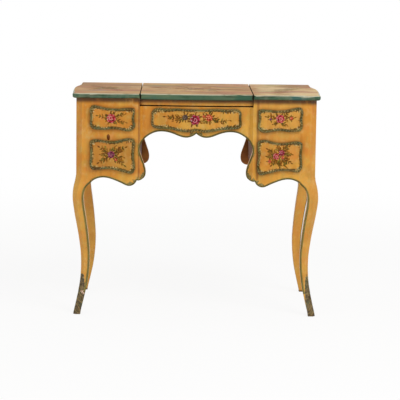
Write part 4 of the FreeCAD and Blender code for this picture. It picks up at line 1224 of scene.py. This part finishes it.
def bare_edges(canvas, parts, ceiling):
    """Short (u, v) lines where a board ends and nothing goes on beside it, below a height."""
    pieces = []
    for part in parts:
        for run in loops_of(part.data, -canvas.look, 0.35):
            for here, there in zip(run, run[1:] + run[:1]):
                ends = np.array([canvas.read(point)[:2] for point in (here, there)])
                middle = ends.mean(0)
                along = ends[1] - ends[0]
                size = np.linalg.norm(along)
                if size < 1e-6 or middle[0] < 0 or middle[1] > ceiling:
                    continue
                beside = np.array([-along[1], along[0]]) / size * TOUCH
                depth = canvas.read((here + there) / 2)[2]
                found = [canvas.hit(*place) for place in (middle + beside, middle - beside)]
                depths = [canvas.read(place)[2] for place in found if place is not None]
                if sum(abs(other - depth) < NEAR for other in depths) == 1:
                    pieces.append(ends)
    return pieces


def chained(pieces):
    """Short lines put end to end, starting next to the middle."""
    pieces = list(pieces)
    first = min(range(len(pieces)), key=lambda k: np.abs(pieces[k][:, 0]).min())
    piece = pieces.pop(first)
    line = list(piece) if piece[0][0] < piece[1][0] else list(piece[::-1])
    while pieces:
        gaps = [min(np.linalg.norm(line[-1] - end) for end in piece) for piece in pieces]
        nearest = int(np.argmin(gaps))
        if gaps[nearest] > LINK:
            break
        near, far = sorted(pieces.pop(nearest), key=lambda end: np.linalg.norm(line[-1] - end))
        line += [near, far]
    return line


nodes = frame["nodes"]
paired = ("kneehole_wing", "inner_stile", "pedestal_apron", "front_leg")
front_names = ["centre_apron"] + [kind + side for kind in paired for side in ("_left", "_right")]
drawer_nodes = [nodes[node] for node, body in FRONTS.values()]
front_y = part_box("inner_stile_right")[0].y
front_canvas = Canvas([nodes[name] for name in front_names] + drawer_nodes, (0, front_y, 0))
boards = [nodes[name] for name in front_names if "leg" not in name and not name.endswith("_left")]
lower_edge = chained(bare_edges(front_canvas, boards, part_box("centre_apron")[1].z - 2 * MM))
edge_end = [round(float(c) / MM, 1) for c in lower_edge[-1]]
print("lower edge has", len(lower_edge), "points, ends at", edge_end)

# %% Lay the green line
BEAD_STEP = 1.3 * MM
BEAD_OFFSETS = (-0.1, 0.3, 1.6, 3.4, 5.2, 6.4)
BEAD_HEIGHTS = (-0.5, 0.45, 0.95, 1.0, 0.6, -0.25)
BEAD_PROBES = (1.0, 3.4)
BEAD_COLOURS = shade_set(("#8c8550", "#767038", "#46431a", "#3b3a13", "#47461c", "#33290c"))
BEAD_LIGHT = tint("#a49a58")
SHOE_TOP = 0.075
LEG_LINE_TOP = 0.43
LEG_STEP = 4 * MM


def leg_edge(leg, height, far, axis):
    """The lower (0) or upper (1) edge of a leg along an axis, stepwise down to its shoe."""
    places = []
    while height > SHOE_TOP:
        height -= LEG_STEP
        places.append((section(leg, height)[far][axis], height))
    return places


def green_line(canvas, rough_line, name, seed):
    """Lays the line, with a changing load of paint and a rubbed corner; returns it and its inward
    directions."""
    line = even(rough_line, int(even(rough_line, 10, False)[1] / BEAD_STEP), False)[0]
    brush = Brushwork(canvas, seed)

    def rows_at(i):
        load = 0.5 + 0.5 * math.sin(i * 0.11) * math.sin(i * 0.037 + 1)
        rubbed = brush.dice.random() * 0.5 + 0.5 * (math.sin(i * 0.053) > -0.3)
        rows = []
        for offset, height, colour in zip(BEAD_OFFSETS, BEAD_HEIGHTS, BEAD_COLOURS):
            if offset < 1.0:
                colour = blended(BEAD_COLOURS[2], colour, rubbed * 0.5)
            else:
                colour = blended(colour, BEAD_COLOURS[1], load * 0.3)
            if offset > 5.0:
                colour = blended(colour, BEAD_LIGHT, 0.3 + 0.5 * load)
            if line[i][1] < LEG_LINE_TOP:
                colour = blended(colour, BEAD_LIGHT, 0.25)
            rows.append((offset, height, colour))
        return rows

    inward = brush.band(line, rows_at, BEAD_PROBES, False)
    brush.finish(name, "case", "ochre_paint", relief_paint)
    return line, inward


half_line = np.array(lower_edge + leg_edge(front_leg, lower_edge[-1][1], 0, 0))
whole = np.vstack([(half_line * (-1, 1))[::-1], half_line])
line, edge_inward = green_line(front_canvas, whole, "green_edge_front", 5)

# %% Carry the line round the sides
# A side is drawn from a point this far beyond its middle, so that its u is never below zero.
SIDE_REACH = 0.3
# Edges nearer than this to the top of a side panel are not part of its lower edge.
TOP_BAND = 0.1
side_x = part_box("front_leg_right")[1].x
side_canvases = {}
for side, way in (("left", -1), ("right", 1)):
    names = [kind + side for kind in ("side_panel_", "front_leg_", "rear_leg_")]
    panel, fore, aft = [nodes[name] for name in names]
    canvas = Canvas([panel, fore, aft], (way * side_x, -way * SIDE_REACH, 0), (0, way, 0))
    side_canvases[side] = canvas
    under = chained(bare_edges(canvas, [panel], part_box(names[0])[1].z - TOP_BAND))
    legs = [leg_edge(fore, under[0][1], 1, 1), leg_edge(aft, under[-1][1], 0, 1)][::way]
    legs = [[(way * y + SIDE_REACH, z) for y, z in places] for places in legs]
    green_line(canvas, np.vstack([legs[0][::-1], under, legs[1]]), "green_edge_" + side, 11)

# %% [markdown]
# ## Ruffles on the green edge
# Where the lower edge turns, the painter set ruffles like the rim of a shell: short strokes that
# stand side by side on the green line, cream ones between dark ones, longest in the middle.

# %% Paint the ruffles
# The two ends of each ruffle on one half of the front, x and height in millimetres.
RUFFLES = (
    ((228, 451), (206, 443)), ((203, 447), (189, 462)), ((187, 464), (172, 486)), ((22, 612), (6, 619)))
RUFFLE_STEP = 3.1 * MM
RUFFLE_START = 4.6 * MM
RUFFLE_SHADES = [shade_set(codes) for codes in (
    ("#2c2e10", "#45471d", "#23240c"), ("#a89c5c", "#c9bb7c", "#8e8248"))]
brush = Brushwork(front_canvas, 6)
dice = brush.dice
for side in (-1, 1):
    for ends in RUFFLES:
        ends = [np.array((side * x, z)) * MM for x, z in ends]
        first, last = sorted(int(np.linalg.norm(line - end, axis=1).argmin()) for end in ends)
        count = max(3, int((last - first) * BEAD_STEP / RUFFLE_STEP))
        for k in range(count):
            share = (k + 0.5) / count
            i = int(first + (last - first) * share)
            way = edge_inward[i]
            heading = math.atan2(way[1], way[0]) + dice.uniform(-0.15, 0.15) + 0.5 * (share - 0.5)
            size = (5.5 + 5.0 * math.sin(math.pi * share)) * dice.uniform(0.9, 1.1) * MM
            width = (2.9, 2.3)[k % 2] * MM
            start = line[i] + way * RUFFLE_START
            brush.comma(*start, heading, size, width, RUFFLE_SHADES[k % 2], 0.4, 2 + k % 2, (0.4, 0.8))
brush.finish("ruffles_front", "case", "ochre_paint", relief_paint)

# %% [markdown]
# ## Shoes, a chip and a drip
# The leaf of each shoe was drawn with slanting strokes that climb the outer edge of the foot. One
# foot has lost a flake of paint down to the pale ground, and under a drawer on the same side
# something brown has run. Such marks tell where a real piece has been, so they are kept.

# %% Draw the leaves of the shoes
SHOE_SHADES = [shade_set(codes) for codes in (
    ("#221b10", "#35291a", "#1a140b"), ("#7c6a42", "#a8925e", "#5c4c2c"), ("#2f3a26", "#46543a", "#232c1c"))]
SHOE_STEP = 7.0 * MM
SHOE_MARGIN = 6 * MM


def shoe_leaves(leg, inner_z, origin, u, outward, seed):
    """Slanting strokes on one face of a foot, seen with u to the right; outward is the outer side in u."""
    canvas = Canvas([leg], origin, u)
    brush = Brushwork(canvas, seed)
    z = SHOE_MARGIN
    k = 0
    while z < SHOE_OUTER - SHOE_MARGIN:
        ends = sorted(canvas.read(Vector(corner))[0] for corner in section(leg, z))
        width = ends[1] - ends[0]
        outer_end = ends[1] if outward > 0 else ends[0]
        reach = 1.0 if z < inner_z else max(0.22, 0.6 * (SHOE_OUTER - z) / (SHOE_OUTER - inner_z))
        for shade in range(2):
            at = outer_end - outward * width * (0.1 + 0.34 * shade * reach)
            heading = math.radians(brush.dice.uniform(-62, -40))
            heading = math.pi - heading if outward > 0 else heading
            length = width * reach * brush.dice.uniform(0.5, 0.75)
            shades = SHOE_SHADES[(k + shade) % 3]
            brush.comma(at, z + 4 * MM, heading, length, 2.2 * MM, shades, -0.5 * outward, 1 + k % 2)
        z += SHOE_STEP * brush.dice.uniform(0.75, 1.15)
        k += 1
    return brush


for k, (side, way) in enumerate((("left", -1), ("right", 1))):
    views = [((0, front_y, 0), (1, 0, 0), way), ((way * side_x, 0, 0), (0, way, 0), -way)]
    for n, view in enumerate(views):
        brush = shoe_leaves(nodes["front_leg_" + side], SHOE_INNERS[side], *view, 200 + k * 8 + n)
        brush.finish("shoe_%s_%d" % (side, n), "case", "ochre_paint", relief_paint)

# %% Chip one foot and run a drip
# Places are x and height in millimetres; a flake has its shift from the chip and its radius.
CHIP = (-380, 74)
CHIP_FLAKES = ((0, 0, 6.5), (-5, 2, 3.5), (4, -4, 4.0), (5, 4, 2.5))
DRIP = (-294, 602)
brush = Brushwork(front_canvas, 9)
for k, (du, dv, radius) in enumerate(CHIP_FLAKES):
    brush.dab((CHIP[0] + du) * MM, (CHIP[1] + dv) * MM, radius * MM, tint("#efd9c6"), tint("#b98d6a"), 1 + k)
brush.finish("chip", "case", "ochre_paint", relief_paint)

brush = Brushwork(Canvas([nodes["drawer_divider_left"]], (0, front_y, 0)), 9)
brown = shade_set(("#8a4a12", "#6a2f08", "#83430f"))
dark_brown = shade_set(("#5c2606", "#4a1d04", "#5c2606"))
brush.comma(DRIP[0] * MM, (DRIP[1] + 11) * MM, -1.5, 21 * MM, 11.0 * MM, brown, 0.2, 1, (0.4, 0.4))
brush.comma((DRIP[0] + 1) * MM, (DRIP[1] + 7) * MM, -1.6, 15 * MM, 6.5 * MM, dark_brown, 0.1, 2)
brush.finish("drip", "case", "ochre_paint", relief_paint)

# %% [markdown]
# ## A spray on each side
# The photograph doesn't show the side panels. They could be left plain like the back, which stood
# against a wall, but visitors saw the sides. So each gets one wide spray from the same routines,
# in the middle of its panel.

# %% Paint a spray on each side
SIDE_SPRAY = {
    "roses": [(0, 0, 25, "pink"), (-40, 10, 16, "coral"), (36, -12, 17, "purple"), (20, 30, 9, "coral")],
    "sprigs": [((-50, 14), (-128, 34), 5, 20), ((-44, 2), (-104, -26), 5, 18),
               ((48, -14), (126, -36), 5, 20), ((46, -4), (106, 28), 5, 18),
               ((-10, 24), (-48, 66), 4, 16), ((14, -24), (44, -70), 4, 16),
               ((22, 36), (62, 66), 3, 15), ((-16, -22), (-46, -62), 4, 16)],
}
SIDE_SPRAY_Z = 0.585
for seed, (side, canvas) in enumerate(side_canvases.items()):
    brush = Brushwork(canvas, 60 + seed)
    paint_spray(brush, SIDE_SPRAY, lambda radius: (radius * 0.8, 10), (SIDE_REACH, SIDE_SPRAY_Z))
    brush.finish("spray_" + side, "case", "ochre_paint", flower_paint)

# %% [markdown]
# ## Faded flowers on the top
# The top once carried the same roses, larger. They are nearly gone, and what is left shows as
# rosy and olive stains. The same routines paint them, but with a paint that has worn through to
# the scrubbed ground over most of its surface.

# %% Paint the top and wear it down
faded_paint = detail_paint("faded_paint", 0.8, 0.0, scrubbed)
TOP_SPRAYS = {
    "centre_lid": {
        "body": "mirror_lid",
        "roses": [(0, 0, 34, "pink"), (-58, 16, 22, "coral"), (62, -12, 24, "crimson")],
        "sprigs": [((-76, 10), (-150, 40), 5, 30), ((84, -8), (158, -30), 5, 30),
                   ((20, 30), (70, 110), 4, 28), ((-20, -30), (-72, -120), 4, 28),
                   ((-10, 30), (-60, 120), 4, 26), ((20, -34), (70, -130), 4, 26)],
    },
    "flap_left": {
        "body": "left_flap",
        "roses": [(0, 0, 26, "crimson"), (24, 40, 15, "coral")],
        "sprigs": [((-10, 20), (-50, 120), 4, 26), ((10, -20), (40, -130), 5, 26),
                   ((-20, -10), (-60, -90), 4, 24)],
    },
    "flap_right": {
        "body": "right_flap",
        "roses": [(0, 0, 26, "pink"), (-24, -40, 15, "purple")],
        "sprigs": [((10, 20), (50, 120), 4, 26), ((-10, -20), (-40, -130), 5, 26),
                   ((20, 10), (62, 80), 4, 24)],
    },
}
for seed, (node, plan) in enumerate(TOP_SPRAYS.items()):
    low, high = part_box(node)
    centre = ((low.x + high.x) / 2, (low.y + high.y) / 2, high.z)
    canvas = Canvas([nodes[node]], centre, (1, 0, 0), (0, 1, 0))
    brush = Brushwork(canvas, 160 + seed)
    paint_spray(brush, plan, lambda radius: (radius * 0.9, 9), bend=0.2)
    body = plan["body"]
    brush.finish("faded_" + node, body, "top_paint", faded_paint)
